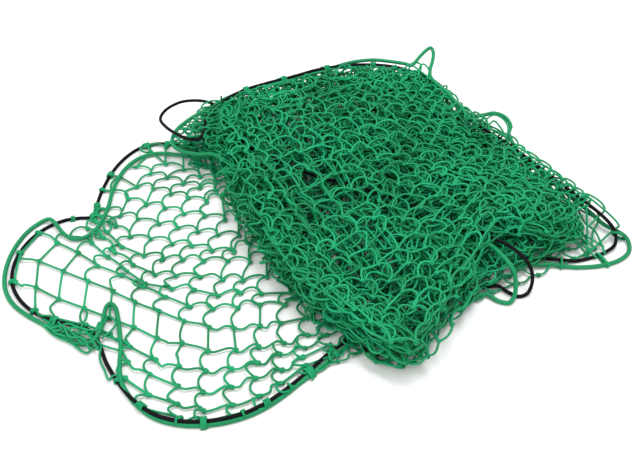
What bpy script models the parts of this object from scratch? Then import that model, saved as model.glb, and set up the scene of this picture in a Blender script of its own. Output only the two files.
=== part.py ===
"""A folded cargo net with an elastic cord and a rope round its border.

Metres, +Z up, +X along the length. The net is one knotted sheet: a single layer lies spread out on
the floor at the left (the flap), runs on under the pile, and is then folded back and forth.
The origin is under the middle of the whole.
"""

import math
from collections import namedtuple

import bmesh
import bpy
from mathutils import Vector

MM = 0.001
COLLECTION = "cargo_net"
MIDDLE = (2.7, 14.6)  # mm, the middle of the box in the tables' own axes

# the netting
SHEET = 3.0  # mm, thickness of the twine and so of the sheet
BAR = 3.6  # mm, width of a bar of netting between two cut meshes
MESH_ROWS = 16  # meshes from the back edge to the front edge
FLAP_COLUMNS = 13  # columns of meshes at full pitch, from the left edge
UNDER_COLUMNS = 5  # wider steps from there to the first fold
LEAST_MESH = 9.0  # mm, a mesh with a shorter side than this stays closed
FLAP_MARGIN = 12.0  # mm, how far under the pile the cut meshes reach
SIDE_STEPS = 40  # steps along the pile's side when a mesh is looked for beside it

# the pile
PITCH = 12.5  # mm from one layer to the next
LAYER_STEPS = 6  # steps across a layer
TOP_STEPS = 7  # steps across the top layer, whose meshes are cut at twice the pitch
FOLD_ANGLES = (-60, 0, 60)  # degrees round a fold, between its two layers
FOLD_FULLNESS = 1.35  # how far a fold stands out, in half pitches
LOW_SIDE = 0.48  # share of the pitch that the layers lose at the right front corner
LOW_SIDE_FIRST = 0.12  # the same for the lowest gap
LOW_FROM = 0.55  # where across the pile it starts to get lower
LOW_BACK = 0.25  # share of that loss at the right back corner
CROWN = 3.5  # mm, height of the lumps on the top layer
# The lumps are two crossed waves: radians per width, radians per depth, radians at the corner
LUMP_WAVES = ((7.1, 2.3, 0.6), (-2.9, 8.3, 1.1))

# the border
ELASTIC = 6.0  # mm, diameter
ROPE = 6.5  # mm, diameter
CORD_SIDES = 2  # bevel resolution, eight sides
FINEST_STEP = 12.0  # mm between two points of a cord in its tightest bend
LONGEST_STEP = 55.0  # mm between two points on a straight stretch
BEND_SHARE = 0.38  # step between two points as a share of the bend's radius

# The sheet on the floor, mm: where nine of its rows of knots cross six of its columns.
# row is the number of meshes from the back edge, column_0 is the left edge of the net.
Guide = namedtuple("Guide", "row column_0 column_2 column_4 column_7 column_10 column_13")
GUIDE_COLUMNS = (0, 2, 4, 7, 10, 13)
FLOOR_SHEET = (
    Guide(0, (-381, 196), (-338, 230), (-276, 216), (-206, 226), (-120, 322), (10, 372)),
    Guide(3, (-412, 100), (-340, 104), (-268, 102), (-165, 118), (-55, 160), (60, 200)),
    Guide(5, (-404, 24), (-350, 34), (-285, 35), (-178, 42), (-65, 75), (50, 112)),
    Guide(6, (-458, 8), (-384, 2), (-308, 4), (-194, 8), (-75, 32), (45, 65)),
    Guide(8, (-534, -84), (-442, -72), (-347, -58), (-216, -54), (-92, -46), (32, -22)),
    Guide(10, (-496, -178), (-424, -136), (-348, -116), (-214, -114), (-88, -110), (38, -86)),
    Guide(12, (-386, -222), (-356, -208), (-314, -196), (-188, -197), (-60, -195), (62, -160)),
    Guide(14, (-338, -296), (-312, -302), (-276, -292), (-170, -292), (-52, -272), (68, -212)),
    Guide(16, (-293, -362), (-266, -386), (-230, -404), (-132, -399), (-35, -333), (66, -258)),
)

# The pile's four sides at half height, mm, from the back to the front and from left to right
LEFT_SIDE = ((-212, 235), (-165, 95), (-112, -45), (-45, -172), (38, -280))
RIGHT_SIDE = ((240, 342), (276, 258), (350, 176), (415, 96), (478, 20), (514, -52))
BACK_SIDE = ((-212, 235), (-152, 312), (-25, 368), (95, 394), (185, 378), (240, 342))
FRONT_SIDE = ((38, -280), (130, -332), (200, -262), (262, -186), (335, -128), (425, -82), (514, -52))

# One row for each layer above the floor sheet: how far it reaches past those sides, mm,
# and the phase of its uneven edge, in turns
Layer = namedtuple("Layer", "left right back front phase")
LAYERS = (
    Layer(0, 10, 4, 2, 0.00),
    Layer(6, 8, -3, -6, 0.37),
    Layer(5, 3, 3, 3, 0.71),
    Layer(-2, 4, -4, -2, 0.15),
    Layer(0, -2, 2, 4, 0.52),
    Layer(4, -6, -2, -5, 0.86),
)
EDGE_WAVE = 5.0  # mm, unevenness of the layers' edges
EDGE_WAVES = 2.6  # waves along one edge
# Where the front edges of the two top layers are drawn back, and how far, mm
TUCK_ACROSS = 0.62
TUCK_REACH = 0.17
TUCK_AHEAD = 0.6  # where the drawing back begins, as a share from back to front
TUCKS = {5: 46.0, 6: 60.0}

# Heights of a cord's middle, mm
FLOOR = 3.15  # on the floor
BESIDE = 3.45  # the rope on the floor
OVER = 7.0  # the rope on the spread sheet
CROSS = 10.4  # the rope across the elastic
LYING = 0.45  # between two layers, as a share of their distance

# Routes of the border, mm: points with their heights where it shows, and where it runs between two
# layers a share across the pile and a share from back to front; gap 0 is the lowest one.
ELASTIC_FLAP = (
    (-232, 224, 6.8), (-252, 227, 4.6), (-270, 231, FLOOR), (-300, 240, FLOOR), (-340, 242, FLOOR),
    (-372, 226, FLOOR), (-396, 194, FLOOR), (-412, 155, FLOOR), (-422, 105, FLOOR), (-425, 62, FLOOR),
    (-422, 38, FLOOR),
    (-430, 25, FLOOR), (-452, 23, FLOOR), (-480, 16, FLOOR), (-510, -6, FLOOR), (-533, -42, FLOOR),
    (-543, -88, FLOOR), (-537, -134, FLOOR), (-516, -172, FLOOR), (-484, -202, FLOOR),
    (-445, -222, FLOOR), (-408, -232, FLOOR), (-378, -244, FLOOR), (-360, -268, FLOOR),
    (-343, -304, FLOOR), (-318, -342, FLOOR), (-290, -376, FLOOR), (-250, -406, FLOOR),
    (-206, -418, FLOOR), (-165, -417, FLOOR), (-125, -408, FLOOR), (-90, -391, FLOOR),
    (-58, -366, FLOOR), (-26, -337, FLOOR), (6, -308, FLOOR), (38, -286, FLOOR), (62, -274, 5.0),
)
ELASTIC_FRONT_RUN = ((0.13, 0.94), (0.24, 0.92), (0.38, 0.93), (0.50, 0.96))
ELASTIC_FRONT_LOOP = (
    (306, -148, 6.7), (322, -160, 5.0), (340, -169, FLOOR), (356, -164, 6.0), (364, -151, 18.0),
    (362, -142, 36.0), (353, -133, 51.5), (337, -114, 58.0), (318, -92, 55.9),
)
ELASTIC_UPPER_RUN = (
    (0.60, 0.83), (0.56, 0.75), (0.51, 0.67), (0.40, 0.52), (0.26, 0.35), (0.13, 0.18), (0.06, 0.04),
)
ELASTIC_BACK_LOOP = (
    (-205, 287, 57.5), (-228, 308, 59.0), (-257, 318, 57.0), (-290, 318, 53.0), (-318, 300, 48.0),
    (-327, 270, 47.0), (-312, 238, 52.0), (-286, 204, 61.0), (-256, 176, 69.0), (-234, 172, 74.0),
    (-226, 198, 77.0), (-226, 236, 78.0),
)
ELASTIC_RIM = (
    (-206, 276, 78.0), (-162, 322, 78.0), (-110, 350, 78.5), (-60, 367, 79.0), (-5, 392, 79.0),
    (55, 407, 78.5), (110, 410, 78.0), (160, 404, 77.0), (206, 384, 76.0), (246, 356, 74.0),
    (268, 316, 70.0), (284, 270, 66.0), (318, 226, 61.0), (362, 186, 56.0), (404, 136, 51.0),
    (446, 84, 45.0), (486, 38, 38.0), (518, 4, 29.0), (536, -22, 19.0), (534, -50, 10.0),
    (514, -72, 5.0), (484, -84, FLOOR), (456, -93, 4.2), (434, -98, 6.9), (412, -99, 7.1),
)
ELASTIC_LOW_RUN = ((0.75, 0.95), (0.66, 0.84), (0.50, 0.66), (0.32, 0.46), (0.16, 0.26), (0.04, 0.08))
ROPE_FLAP = (
    # along the back of the flap, inside the elastic
    (-216, 190, 7.4), (-250, 196, OVER), (-290, 203, OVER), (-330, 207, OVER), (-362, 194, OVER),
    (-384, 166, OVER), (-396, 130, OVER), (-401, 92, OVER), (-401, 55, OVER), (-405, 20, OVER),
    # the bight at the upper notch
    (-412, -8, OVER), (-428, -30, OVER), (-450, -35, OVER), (-470, -22, OVER), (-483, -7, 9.0),
    (-494, 6, CROSS), (-506, 15, 8.6),
    # round the outside of the left lobe
    (-525, 6, 4.4), (-543, -22, BESIDE), (-554, -66, BESIDE), (-554, -112, BESIDE),
    (-544, -152, BESIDE), (-522, -186, BESIDE), (-490, -212, BESIDE), (-455, -232, 4.4),
    (-432, -236, 8.0), (-412, -226, CROSS + 0.4), (-396, -206, 8.8),
    # the bight at the lower notch
    (-382, -188, OVER), (-366, -181, OVER), (-352, -192, OVER), (-344, -218, OVER),
    (-338, -256, OVER), (-332, -290, 8.4), (-329, -316, CROSS + 0.4), (-329, -340, CROSS),
    (-324, -360, 6.4), (-304, -380, BESIDE),
    # the front of the flap, outside the elastic
    (-262, -409, BESIDE), (-210, -427, BESIDE), (-162, -427, BESIDE), (-118, -416, BESIDE),
    (-82, -398, BESIDE), (-48, -371, BESIDE), (-14, -340, BESIDE), (20, -312, BESIDE),
    (46, -301, BESIDE), (72, -300, 5.0),
)
ROPE_FRONT_RUN = ((0.12, 0.97), (0.24, 0.96), (0.36, 0.97), (0.46, 0.99))
ROPE_FRONT_LOOP = (
    (282, -166, 6.4), (304, -180, 4.2), (322, -184, 4.6), (332, -172, 14.0), (332, -160, 31.0),
    (329, -154, 46.0), (322, -145, 56.0), (307, -119, 58.2), (291, -97, 56.2),
)
ROPE_UPPER_RUN = ((0.52, 0.84), (0.44, 0.72), (0.33, 0.58), (0.20, 0.43), (0.07, 0.30))
ROPE_BACK = (
    # round the back corner, under the elastic's loop
    (-204, 144, 56.5), (-238, 152, 51.0), (-272, 168, 46.0), (-293, 192, 45.0), (-291, 226, 47.0),
    (-270, 262, 48.0), (-234, 300, 49.0), (-190, 332, 56.0), (-130, 360, 64.0), (-70, 380, 67.0),
    (-20, 398, 68.0),
    # outside the elastic along the back, then the standing bight
    (20, 413, 72.0), (65, 428, 78.0), (112, 436, 80.0), (152, 430, 80.0), (186, 416, 82.0),
    (208, 422, 87.0), (224, 440, 94.0), (236, 457, 100.0), (245, 456, 101.0), (247, 438, 98.0),
    (243, 414, 91.0), (242, 388, 86.0), (254, 362, 84.0),
    # the shoulder and the round bight
    (274, 332, 81.0), (284, 296, 77.0), (290, 264, 73.0), (306, 248, 70.0), (330, 252, 70.0),
    (352, 258, 70.0), (372, 246, 69.0), (380, 222, 66.0), (374, 200, 62.0),
    # down the right side, outside the elastic
    (396, 170, 58.0), (436, 118, 51.0), (478, 66, 43.0), (516, 26, 32.0), (545, -8, 18.0),
    (560, -40, 8.0), (556, -70, 4.4), (532, -92, BESIDE), (498, -104, BESIDE), (462, -110, BESIDE),
    (434, -113, 5.0), (410, -113, 7.1), (386, -109, 7.4),
)
ROPE_LOW_RUN = ((0.66, 0.92), (0.52, 0.76), (0.34, 0.57), (0.17, 0.37), (0.05, 0.20))


def clear_scene():
    """Remove every object of the open file."""
    for thing in list(bpy.data.objects):
        bpy.data.objects.remove(thing, do_unlink=True)


def new_collection(name):
    """Make a collection and link it to the scene."""
    collection = bpy.data.collections.new(name)
    bpy.context.scene.collection.children.link(collection)
    return collection


def finish(name, colour, roughness):
    """A plain plastic or rubber finish."""
    material = bpy.data.materials.new(name)
    material.use_nodes = True
    shader = material.node_tree.nodes["Principled BSDF"]
    shader.inputs["Base Color"].default_value = (*colour, 1.0)
    shader.inputs["Roughness"].default_value = roughness
    shader.inputs["Metallic"].default_value = 0.0
    return material


def place(x, y, z):
    """A point in metres from the tables' millimetres."""
    return Vector(((x - MIDDLE[0]) * MM, (y - MIDDLE[1]) * MM, z * MM))


def mix(a, b, share):
    """The point a share of the way from a to b."""
    return tuple(p + (q - p) * share for p, q in zip(a, b))


def smooth_step(value):
    """0 below 0, 1 above 1 and an even slope between."""
    value = min(max(value, 0.0), 1.0)
    return value * value * (3 - 2 * value)


def through(keys, points, at):
    """The point at a key on a smooth curve that passes through the points at their keys."""
    last = len(keys) - 1
    i = max(0, min(last - 1, sum(1 for key in keys[1:-1] if key <= at)))
    span = keys[i + 1] - keys[i]
    share = (at - keys[i]) / span

    def slope(j):
        before, after = max(j - 1, 0), min(j + 1, last)
        run = keys[after] - keys[before]
        return [(q - p) / run * span for p, q in zip(points[before], points[after])]

    square, cube = share * share, share ** 3
    weights = (2 * cube - 3 * square + 1, cube - 2 * square + share, 3 * square - 2 * cube, cube - square)
    parts = (points[i], slope(i), points[i + 1], slope(i + 1))
    return tuple(sum(w * part[axis] for w, part in zip(weights, parts)) for axis in range(len(points[0])))


def along(points, share):
    """The point a share of the way along a side that is given by evenly keyed points."""
    return through(list(range(len(points))), points, share * (len(points) - 1))


def pile_plan(across, ahead):
    """The plan point of the pile a share across it and a share from back to front."""
    left, right = along(LEFT_SIDE, ahead), along(RIGHT_SIDE, ahead)
    back, front = along(BACK_SIDE, across), along(FRONT_SIDE, across)
    corners = mix(
        mix(LEFT_SIDE[0], RIGHT_SIDE[0], across), mix(LEFT_SIDE[-1], RIGHT_SIDE[-1], across), ahead
    )
    between = mix(left, right, across)
    from_back = mix(back, front, ahead)
    return tuple(p + q - r for p, q, r in zip(between, from_back, corners))


def unit(vector):
    """A plan vector of length 1."""
    length = math.hypot(*vector)
    return vector[0] / length, vector[1] / length


def sinking(across, ahead):
    """How far the pile is down, from 0 to 1 at its right front corner."""
    return smooth_step((across - LOW_FROM) / (1 - LOW_FROM)) * (LOW_BACK + (1 - LOW_BACK) * ahead)


def lumps(across, ahead):
    """Unevenness of the top, from -1 to 1."""
    return math.prod(math.sin(a * across + b * ahead + start) for a, b, start in LUMP_WAVES)


def level(number, across, ahead):
    """Height of a layer's middle surface, mm; layer 0 lies flat on the floor."""
    if number == 0:
        return SHEET / 2
    down = sinking(across, ahead)
    pitches = (1 - LOW_SIDE_FIRST * down) + (number - 1) * (1 - LOW_SIDE * down)
    return SHEET / 2 + PITCH * pitches + CROWN * number / len(LAYERS) * lumps(across, ahead)


def layer_point(number, across, ahead):
    """A point of a folded layer, mm."""
    x, y = pile_plan(across, ahead)
    if number > 0:
        layer = LAYERS[number - 1]
        wave = EDGE_WAVE * math.sin(2 * math.pi * (EDGE_WAVES * ahead + layer.phase))
        sideways = mix((-layer.left - wave,), (layer.right + wave,), across)[0]
        wave = EDGE_WAVE * math.sin(2 * math.pi * (EDGE_WAVES * across + layer.phase))
        forward = mix((layer.back + wave,), (-layer.front + wave,), ahead)[0]
        right = unit([q - p for p, q in zip(pile_plan(0, ahead), pile_plan(1, ahead))])
        x, y = x + right[0] * sideways, y + right[1] * sideways + forward
    beside = smooth_step(1 - abs(across - TUCK_ACROSS) / TUCK_REACH)
    y += TUCKS.get(number, 0) * beside * smooth_step((ahead - TUCK_AHEAD) / (1 - TUCK_AHEAD))
    return x, y, level(number, across, ahead)


def floor_point(row, column):
    """A crossing of the spread sheet, mm."""
    guides = [through([g.row for g in FLOOR_SHEET], [g[1 + i] for g in FLOOR_SHEET], row)
              for i in range(len(GUIDE_COLUMNS))]
    if column <= FLAP_COLUMNS:
        x, y = through(GUIDE_COLUMNS, guides, column)
    else:
        share = (column - FLAP_COLUMNS) / UNDER_COLUMNS
        x, y = mix(guides[-1], pile_plan(1, row / MESH_ROWS), share)
    return x, y, SHEET / 2


def between_layers(gap, spots):
    """Points where a cord lies in a gap of the pile, mm."""
    return [mix(layer_point(gap, *spot), layer_point(gap + 1, *spot), LYING) for spot in spots]


def elastic_route():
    """The elastic's whole route, mm; it closes on itself."""
    return [
        *ELASTIC_FLAP, *between_layers(0, ELASTIC_FRONT_RUN), *ELASTIC_FRONT_LOOP,
        *between_layers(4, ELASTIC_UPPER_RUN), *ELASTIC_BACK_LOOP, *ELASTIC_RIM,
        *between_layers(0, ELASTIC_LOW_RUN),
    ]


def rope_route():
    """The rope's whole route, mm; it closes on itself."""
    return [
        *ROPE_FLAP, *between_layers(0, ROPE_FRONT_RUN), *ROPE_FRONT_LOOP,
        *between_layers(4, ROPE_UPPER_RUN), *ROPE_BACK, *between_layers(0, ROPE_LOW_RUN),
    ]


def fold_points(lower, upper, inward):
    """The points round a fold between the ends of two layers, mm."""
    half = (upper[2] - lower[2]) / 2
    out = unit([-inward[0], -inward[1]])
    points = []
    for angle in FOLD_ANGLES:
        turn = math.radians(angle)
        x, y, z = mix(lower, upper, (1 + math.sin(turn)) / 2)
        reach = half * FOLD_FULLNESS * math.cos(turn)
        points.append((x + out[0] * reach, y + out[1] * reach, z))
    return points


def section(row):
    """One line through the whole net, mm: along the floor sheet, then back and forth up the pile.

    Each point comes with the kind of strip that follows it: flap, under, layer, fold or top.
    """
    ahead = row / MESH_ROWS
    line = [(floor_point(row, column), "flap" if column < FLAP_COLUMNS else "under")
            for column in range(FLAP_COLUMNS + UNDER_COLUMNS + 1)]
    for number in range(1, len(LAYERS) + 1):
        top = number == len(LAYERS)
        steps = TOP_STEPS if top else LAYER_STEPS
        shares = [i / steps for i in range(steps + 1)]
        if number % 2:
            shares.reverse()
        points = [layer_point(number, share, ahead) for share in shares]
        before, last = line[-2][0], line[-1][0]
        inward = (before[0] - last[0], before[1] - last[1])
        line[-1] = (last, "fold")
        line += [(point, "fold") for point in fold_points(last, points[0], inward)]
        line += [(point, "top" if top else "layer") for point in points]
    return line


def cut_meshes(sheet, cells):
    """Cut the middle out of each cell of the sheet and leave bars of netting between them."""
    open_cells = [cell for cell in cells if min(edge.calc_length() for edge in cell.edges) > LEAST_MESH * MM]
    bmesh.ops.inset_individual(
        sheet, faces=open_cells, thickness=BAR / 2 * MM, depth=0, use_even_offset=True
    )
    bmesh.ops.delete(sheet, geom=open_cells, context="FACES_ONLY")


def left_of_pile(x, y):
    """Whether a plan point of the floor sheet lies outside the pile's left side."""
    side = [along(LEFT_SIDE, i / SIDE_STEPS) for i in range(SIDE_STEPS + 1)]
    nearest = min(side, key=lambda point: math.dist(point, (x, y)))
    return x < nearest[0] + FLAP_MARGIN


def add_netting(collection):
    """The net as one sheet, cut through on the flap and on the top layer."""
    lines = [section(row) for row in range(MESH_ROWS + 1)]
    sheet = bmesh.new()
    grid = [[sheet.verts.new(place(*point)) for point, _ in line] for line in lines]
    to_cut = []
    for row in range(MESH_ROWS):
        for i in range(len(lines[row]) - 1):
            corners = (grid[row][i], grid[row + 1][i], grid[row + 1][i + 1], grid[row][i + 1])
            face = sheet.faces.new(corners)
            kind = lines[row][i][1]
            middle = mix(lines[row][i][0], lines[row + 1][i + 1][0], 0.5)
            if kind == "top" or kind == "flap" and left_of_pile(middle[0], middle[1]):
                to_cut.append(face)
    sheet.normal_update()
    cut_meshes(sheet, to_cut)
    mesh = bpy.data.meshes.new("netting")
    sheet.to_mesh(mesh)
    sheet.free()
    netting = bpy.data.objects.new("netting", mesh)
    collection.objects.link(netting)
    solid = netting.modifiers.new("twine_thickness", "SOLIDIFY")
    solid.thickness = SHEET * MM
    solid.offset = 0
    solid.use_even_offset = False
    mesh.materials.append(finish("green_twine", (0.01, 0.26, 0.09), 0.6))
    return netting


def route_points(route):
    """Points along a closed smooth curve through a route, closer together in its bends, mm."""
    count = len(route)
    keys = [0.0]
    for i in range(count):
        keys.append(keys[-1] + math.dist(route[i], route[(i + 1) % count]))
    around = [route[i % count] for i in range(-2, count + 3)]
    total = keys[-1]
    spaced = [keys[-3] - total, keys[-2] - total] + keys + [total + keys[1], total + keys[2]]

    def at(distance):
        return through(spaced, around, distance % total)

    points, distance = [], 0.0
    while distance < total - FINEST_STEP / 2:
        here = at(distance)
        points.append(here)
        before, after = at(distance - FINEST_STEP), at(distance + FINEST_STEP)
        bend = math.dist(mix(before, after, 0.5), here)
        radius = FINEST_STEP ** 2 / (2 * bend) if bend > 0 else LONGEST_STEP
        distance += min(max(radius * BEND_SHARE, FINEST_STEP), LONGEST_STEP)
    return points


def add_cord(collection, name, route, diameter, material):
    """A closed cord along a route."""
    points = route_points(route)
    curve = bpy.data.curves.new(name, "CURVE")
    curve.dimensions = "3D"
    curve.bevel_depth = diameter / 2 * MM
    curve.bevel_resolution = CORD_SIDES
    curve.use_fill_caps = True
    spline = curve.splines.new("POLY")
    spline.points.add(len(points) - 1)
    for target, point in zip(spline.points, points):
        target.co = (*place(*point), 1.0)
    spline.use_cyclic_u = True
    cord = bpy.data.objects.new(name, curve)
    collection.objects.link(cord)
    curve.materials.append(material)
    return cord


def build():
    """Make the net and its border."""
    clear_scene()
    collection = new_collection(COLLECTION)
    add_netting(collection)
    rubber = finish("black_elastic", (0.01, 0.01, 0.012), 0.75)
    add_cord(collection, "elastic_cord", elastic_route(), ELASTIC, rubber)
    strands = finish("green_rope", (0.01, 0.30, 0.12), 0.55)
    add_cord(collection, "border_rope", rope_route(), ROPE, strands)


build()
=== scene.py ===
"""Looks of the folded cargo net: knotted green twine, a black elastic cord and a green rope.

The net is one lattice of knots: a single layer lies spread on the floor (the flap), runs on under
the pile and is then folded back and forth. Every bar between two knots is a piece of twine of the
same length, so it bows out wherever its knots are pushed together. Plans are in millimetres on the
floor, like the part's own tables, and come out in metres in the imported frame.
"""
import logging
import math
from collections.abc import Sequence
from dataclasses import dataclass, field
from enum import Enum
from typing import Any

import bpy
import numpy as np
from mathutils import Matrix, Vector


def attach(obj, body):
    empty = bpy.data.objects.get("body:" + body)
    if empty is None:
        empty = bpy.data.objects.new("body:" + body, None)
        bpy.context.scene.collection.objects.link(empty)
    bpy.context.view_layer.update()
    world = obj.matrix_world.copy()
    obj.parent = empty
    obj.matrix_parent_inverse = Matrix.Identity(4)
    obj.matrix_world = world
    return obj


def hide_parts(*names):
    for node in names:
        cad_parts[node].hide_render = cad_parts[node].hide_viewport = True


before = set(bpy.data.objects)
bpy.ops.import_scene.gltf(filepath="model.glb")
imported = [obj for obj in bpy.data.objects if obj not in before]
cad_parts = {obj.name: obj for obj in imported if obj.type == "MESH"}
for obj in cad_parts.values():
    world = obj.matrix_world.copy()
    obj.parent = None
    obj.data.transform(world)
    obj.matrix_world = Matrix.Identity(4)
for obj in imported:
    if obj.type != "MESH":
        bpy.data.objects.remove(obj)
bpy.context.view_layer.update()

logging.basicConfig(level=logging.INFO, format="%(message)s")
LOG = logging.getLogger("cargo_net")

Points = np.ndarray  # (n, 3) places in mm, unless a docstring says otherwise
Pair = tuple[float, float]
Spot = tuple[float, float, float]
Seen = tuple[float, Sequence[Pair]]  # a height in mm and pixels of the camera's image
Patch = tuple[Any, Any, int, int]  # two edges, mm, and the meshes between them and along them

MM = 0.001
MIDDLE = np.array((2.7, 14.6, 0.0))  # mm, the middle of the box in the tables' own axes
BODY = "root"
SEED = 20417
FULL_TURN = 2 * math.pi

# camera: the photograph is 640 pixels wide and taken from 45 degrees above the floor
CAMERA_HEIGHT = 1.0960  # m
CAMERA_BACK = 1.0960  # m, from the point looked at
CAMERA_SLOPE = math.sqrt(0.5)  # sine and cosine of that angle
SENSOR = 36.0  # mm
HALF_VIEW = math.radians(21)  # half the horizontal field of view
IMAGE_WIDTH, IMAGE_HEIGHT = 640, 456

# twine, mm
TWINE = 3.6  # diameter
TOP_TWINE = 3.9  # in the pile's upper layers
FLAP_TWINE = 4.2  # and in the flap, whose twine has opened out
LOOSE_TWINE = 4.0  # and in ties and strands outside the pile
MATTED = 1.12  # how much thicker the matted twine inside the pile is
MESH_BAR = 46.0  # twine between two knots of the flap
CURLY_BAR = 52.0  # and of the pile, where none is drawn tight
BAR_STEPS = 6
KNOT_LIFT = 5.0  # middle of a knot that lies on the floor
BOW_SHORTENING = 6.0  # a bow of a small turn t at both ends is shorter than its twine by t * t / 6
LEAST_SLACK = 0.004  # share of its twine by which a bar is shorter, at least
PULLS = (0.4, 3.2)  # between these multiples of a bar's length lies the pull of its ends
HALVINGS = 14  # steps in which that pull is found

# the lattice
ROWS = 16  # meshes from the back edge to the front edge
FLAP_COLUMNS = 13
UNDER_COLUMNS = 13
PILE_LAYERS = 12
PILE_COLUMNS = 18
TOP_COLUMNS = 16  # the top layer lies more open
TOP_LAYERS = 3  # these are seen from above and have finer twine
UNDER_JITTER = np.array((2.5, 2.5, 0.0))  # mm
RIM_PULL = (1.0, 0.8, 0.6, 0.4, 0.2)  # how strongly the first rows and columns follow the rim
RIM_GAP = 9.0  # mm from the rim's middle to the knots tied to it
PILE_MIDDLE = np.array((150.0, 60.0))  # mm, plan

# Knots of the spread flap as pixels of the camera's image, read row by row from the back.
# Each row starts at the column given first; its later columns lie hidden under the pile.
FLAP_KNOTS = (
    (1, ((146, 147), (166, 147), (183, 148))),
    (1, ((151, 152), (166, 164), (184, 170), (200, 177), (215, 181))),
    (1, ((136, 167), (150, 174), (167, 178), (183, 184), (200, 188), (215, 190))),
    (1, ((120, 177), (137, 187), (153, 189), (171, 194), (188, 198), (207, 202))),
    (1, ((112, 191), (128, 199), (146, 205), (165, 208), (184, 214), (205, 216), (225, 220))),
    (1, ((107, 209), (120, 216), (138, 219), (159, 224), (178, 228), (198, 232), (218, 235),
         (239, 236))),
    (1, ((103, 217), (116, 226), (130, 237), (151, 239), (172, 244), (192, 246), (212, 251),
         (234, 252))),
    (1, ((99, 223), (107, 232), (122, 247), (144, 256), (162, 260), (183, 260), (204, 261),
         (228, 261), (250, 262))),
    (1, ((88, 229), (104, 238), (115, 253), (133, 265), (155, 275), (176, 276), (200, 277),
         (223, 280), (243, 281), (267, 277))),
    (1, ((70, 237), (92, 243), (108, 257), (127, 271), (145, 284), (172, 289), (194, 290),
         (218, 296), (241, 293), (262, 294), (290, 293))),
    (0, ((40, 233), (57, 243), (78, 253), (98, 266), (122, 275), (144, 287), (166, 297),
         (190, 307), (213, 309), (238, 308), (260, 305), (285, 305), (306, 300))),
    (0, ((21, 253), (39, 261), (63, 271), (88, 281), (113, 291), (135, 302), (159, 311),
         (184, 321), (209, 327), (234, 328), (260, 326), (281, 323), (307, 318))),
    (0, ((15, 282), (36, 287), (59, 299), (84, 308), (110, 318), (134, 327), (157, 338),
         (182, 343), (208, 351), (236, 350), (259, 347), (284, 343), (308, 335))),
    (1, ((36, 310), (56, 318), (86, 325), (110, 334), (131, 347), (156, 360), (179, 366),
         (206, 371), (232, 369), (258, 363), (280, 354), (305, 348))),
    (5, ((128, 362), (150, 374), (178, 386), (203, 392), (232, 387), (256, 378), (282, 370),
         (303, 357))),
    (5, ((125, 378), (149, 395), (178, 404), (204, 411), (233, 405), (260, 396), (282, 383),
         (306, 365))),
    (6, ((143, 408), (180, 418), (203, 422), (242, 413), (268, 405), (290, 388), (312, 372))),
)

# The pile's four sides at half height, mm, from the back to the front and from left to right
LEFT_SIDE = ((-212, 235), (-165, 95), (-112, -45), (-45, -172), (38, -280))
RIGHT_SIDE = ((240, 342), (276, 258), (350, 176), (415, 96), (478, 20), (514, -52))
BACK_SIDE = ((-212, 235), (-152, 312), (-25, 368), (95, 394), (185, 378), (240, 342))
FRONT_SIDE = ((38, -280), (133, -347), (200, -262), (262, -186), (335, -128), (425, -82), (514, -52))
LOW_SIDE = 0.45  # share of its height that the part's own pile loses at the right front corner
LOW_FROM = 0.55  # where across the pile it starts to get lower
LOW_BACK = 0.25  # share of that loss at the right back corner

# Meshes that fill the gaps round the pile's back left corner: two edges, mm, and how many meshes
# lie between them and along them
CORNER_WEBS = (
    (((-190, 332, 57), (-234, 300, 50), (-270, 262, 49), (-291, 226, 48), (-290, 196, 47)),
     ((-196, 300, 74), (-204, 268, 70), (-206, 238, 66), (-204, 208, 62), (-200, 178, 56)), 4, 8),
    (((-200, 322, 54), (-240, 290, 44), (-268, 256, 40), (-282, 222, 38), (-276, 196, 34)),
     ((-186, 290, 68), (-190, 256, 60), (-192, 226, 56), (-192, 196, 52), (-190, 160, 46)), 5, 8),
    (((-292, 210, 15), (-268, 204, 15), (-240, 200, 15), (-214, 186, 16)),
     ((-236, 202, 50), (-216, 182, 54), (-204, 152, 54), (-192, 120, 52)), 3, 6),
    (((-242, 172, 80), (-238, 204, 84), (-238, 238, 85), (-224, 276, 85)),
     ((-188, 168, 80), (-190, 200, 82), (-190, 236, 82), (-184, 272, 82)), 2, 6),
)

# Meshes gathered at the pile's foot, where the flap runs in under it
FOOT_WEBS = (
    ((15, ((184, 151), (196, 153), (208, 154), (220, 159), (231, 168))),
     (9, ((188, 164), (201, 168), (214, 173), (226, 180), (236, 189))), 3, 7),
    ((9, ((226, 184), (234, 198), (243, 214), (252, 232))),
     (26, ((236, 182), (245, 196), (254, 212), (263, 230))), 2, 7),
    ((9, ((262, 248), (271, 264), (282, 280), (294, 296))),
     (26, ((273, 246), (283, 262), (294, 278), (306, 294))), 2, 7),
)

# Strands that hang loose at the lower notch: height in mm and pixels of the camera's image
NOTCH_STRANDS = (
    (5, ((40, 322), (54, 335), (71, 343), (86, 353), (94, 348), (101, 346))),
    (6, ((101, 346), (100, 359), (105, 371), (109, 380), (113, 376), (122, 375))),
    (9, ((56, 318), (52, 330), (66, 336), (78, 333), (92, 336), (101, 345))),
    (12, ((62, 332), (72, 328), (84, 330), (92, 340), (98, 350))),
    (8, ((76, 338), (82, 326), (87, 315), (85, 308))),
    (13, ((55, 328), (68, 324), (80, 328), (96, 330), (103, 318))),
    (7, ((98, 333), (112, 338), (122, 340), (131, 347))),
    (6, ((101, 345), (110, 348), (122, 352), (128, 362))),
    (10, ((102, 338), (110, 332), (116, 323), (108, 316), (104, 324))),
    (3, ((42, 318), (60, 329), (75, 337), (90, 346), (100, 348))),
    (5, ((48, 322), (58, 334), (72, 332), (88, 340), (97, 336))),
    (12, ((46, 325), (56, 331), (66, 328), (74, 335), (84, 344), (93, 340))),
    (9, ((58, 322), (66, 330), (76, 326), (84, 334), (94, 332), (99, 322))),
    (15, ((50, 329), (62, 326), (70, 337), (82, 338), (90, 350))),
)

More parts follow.
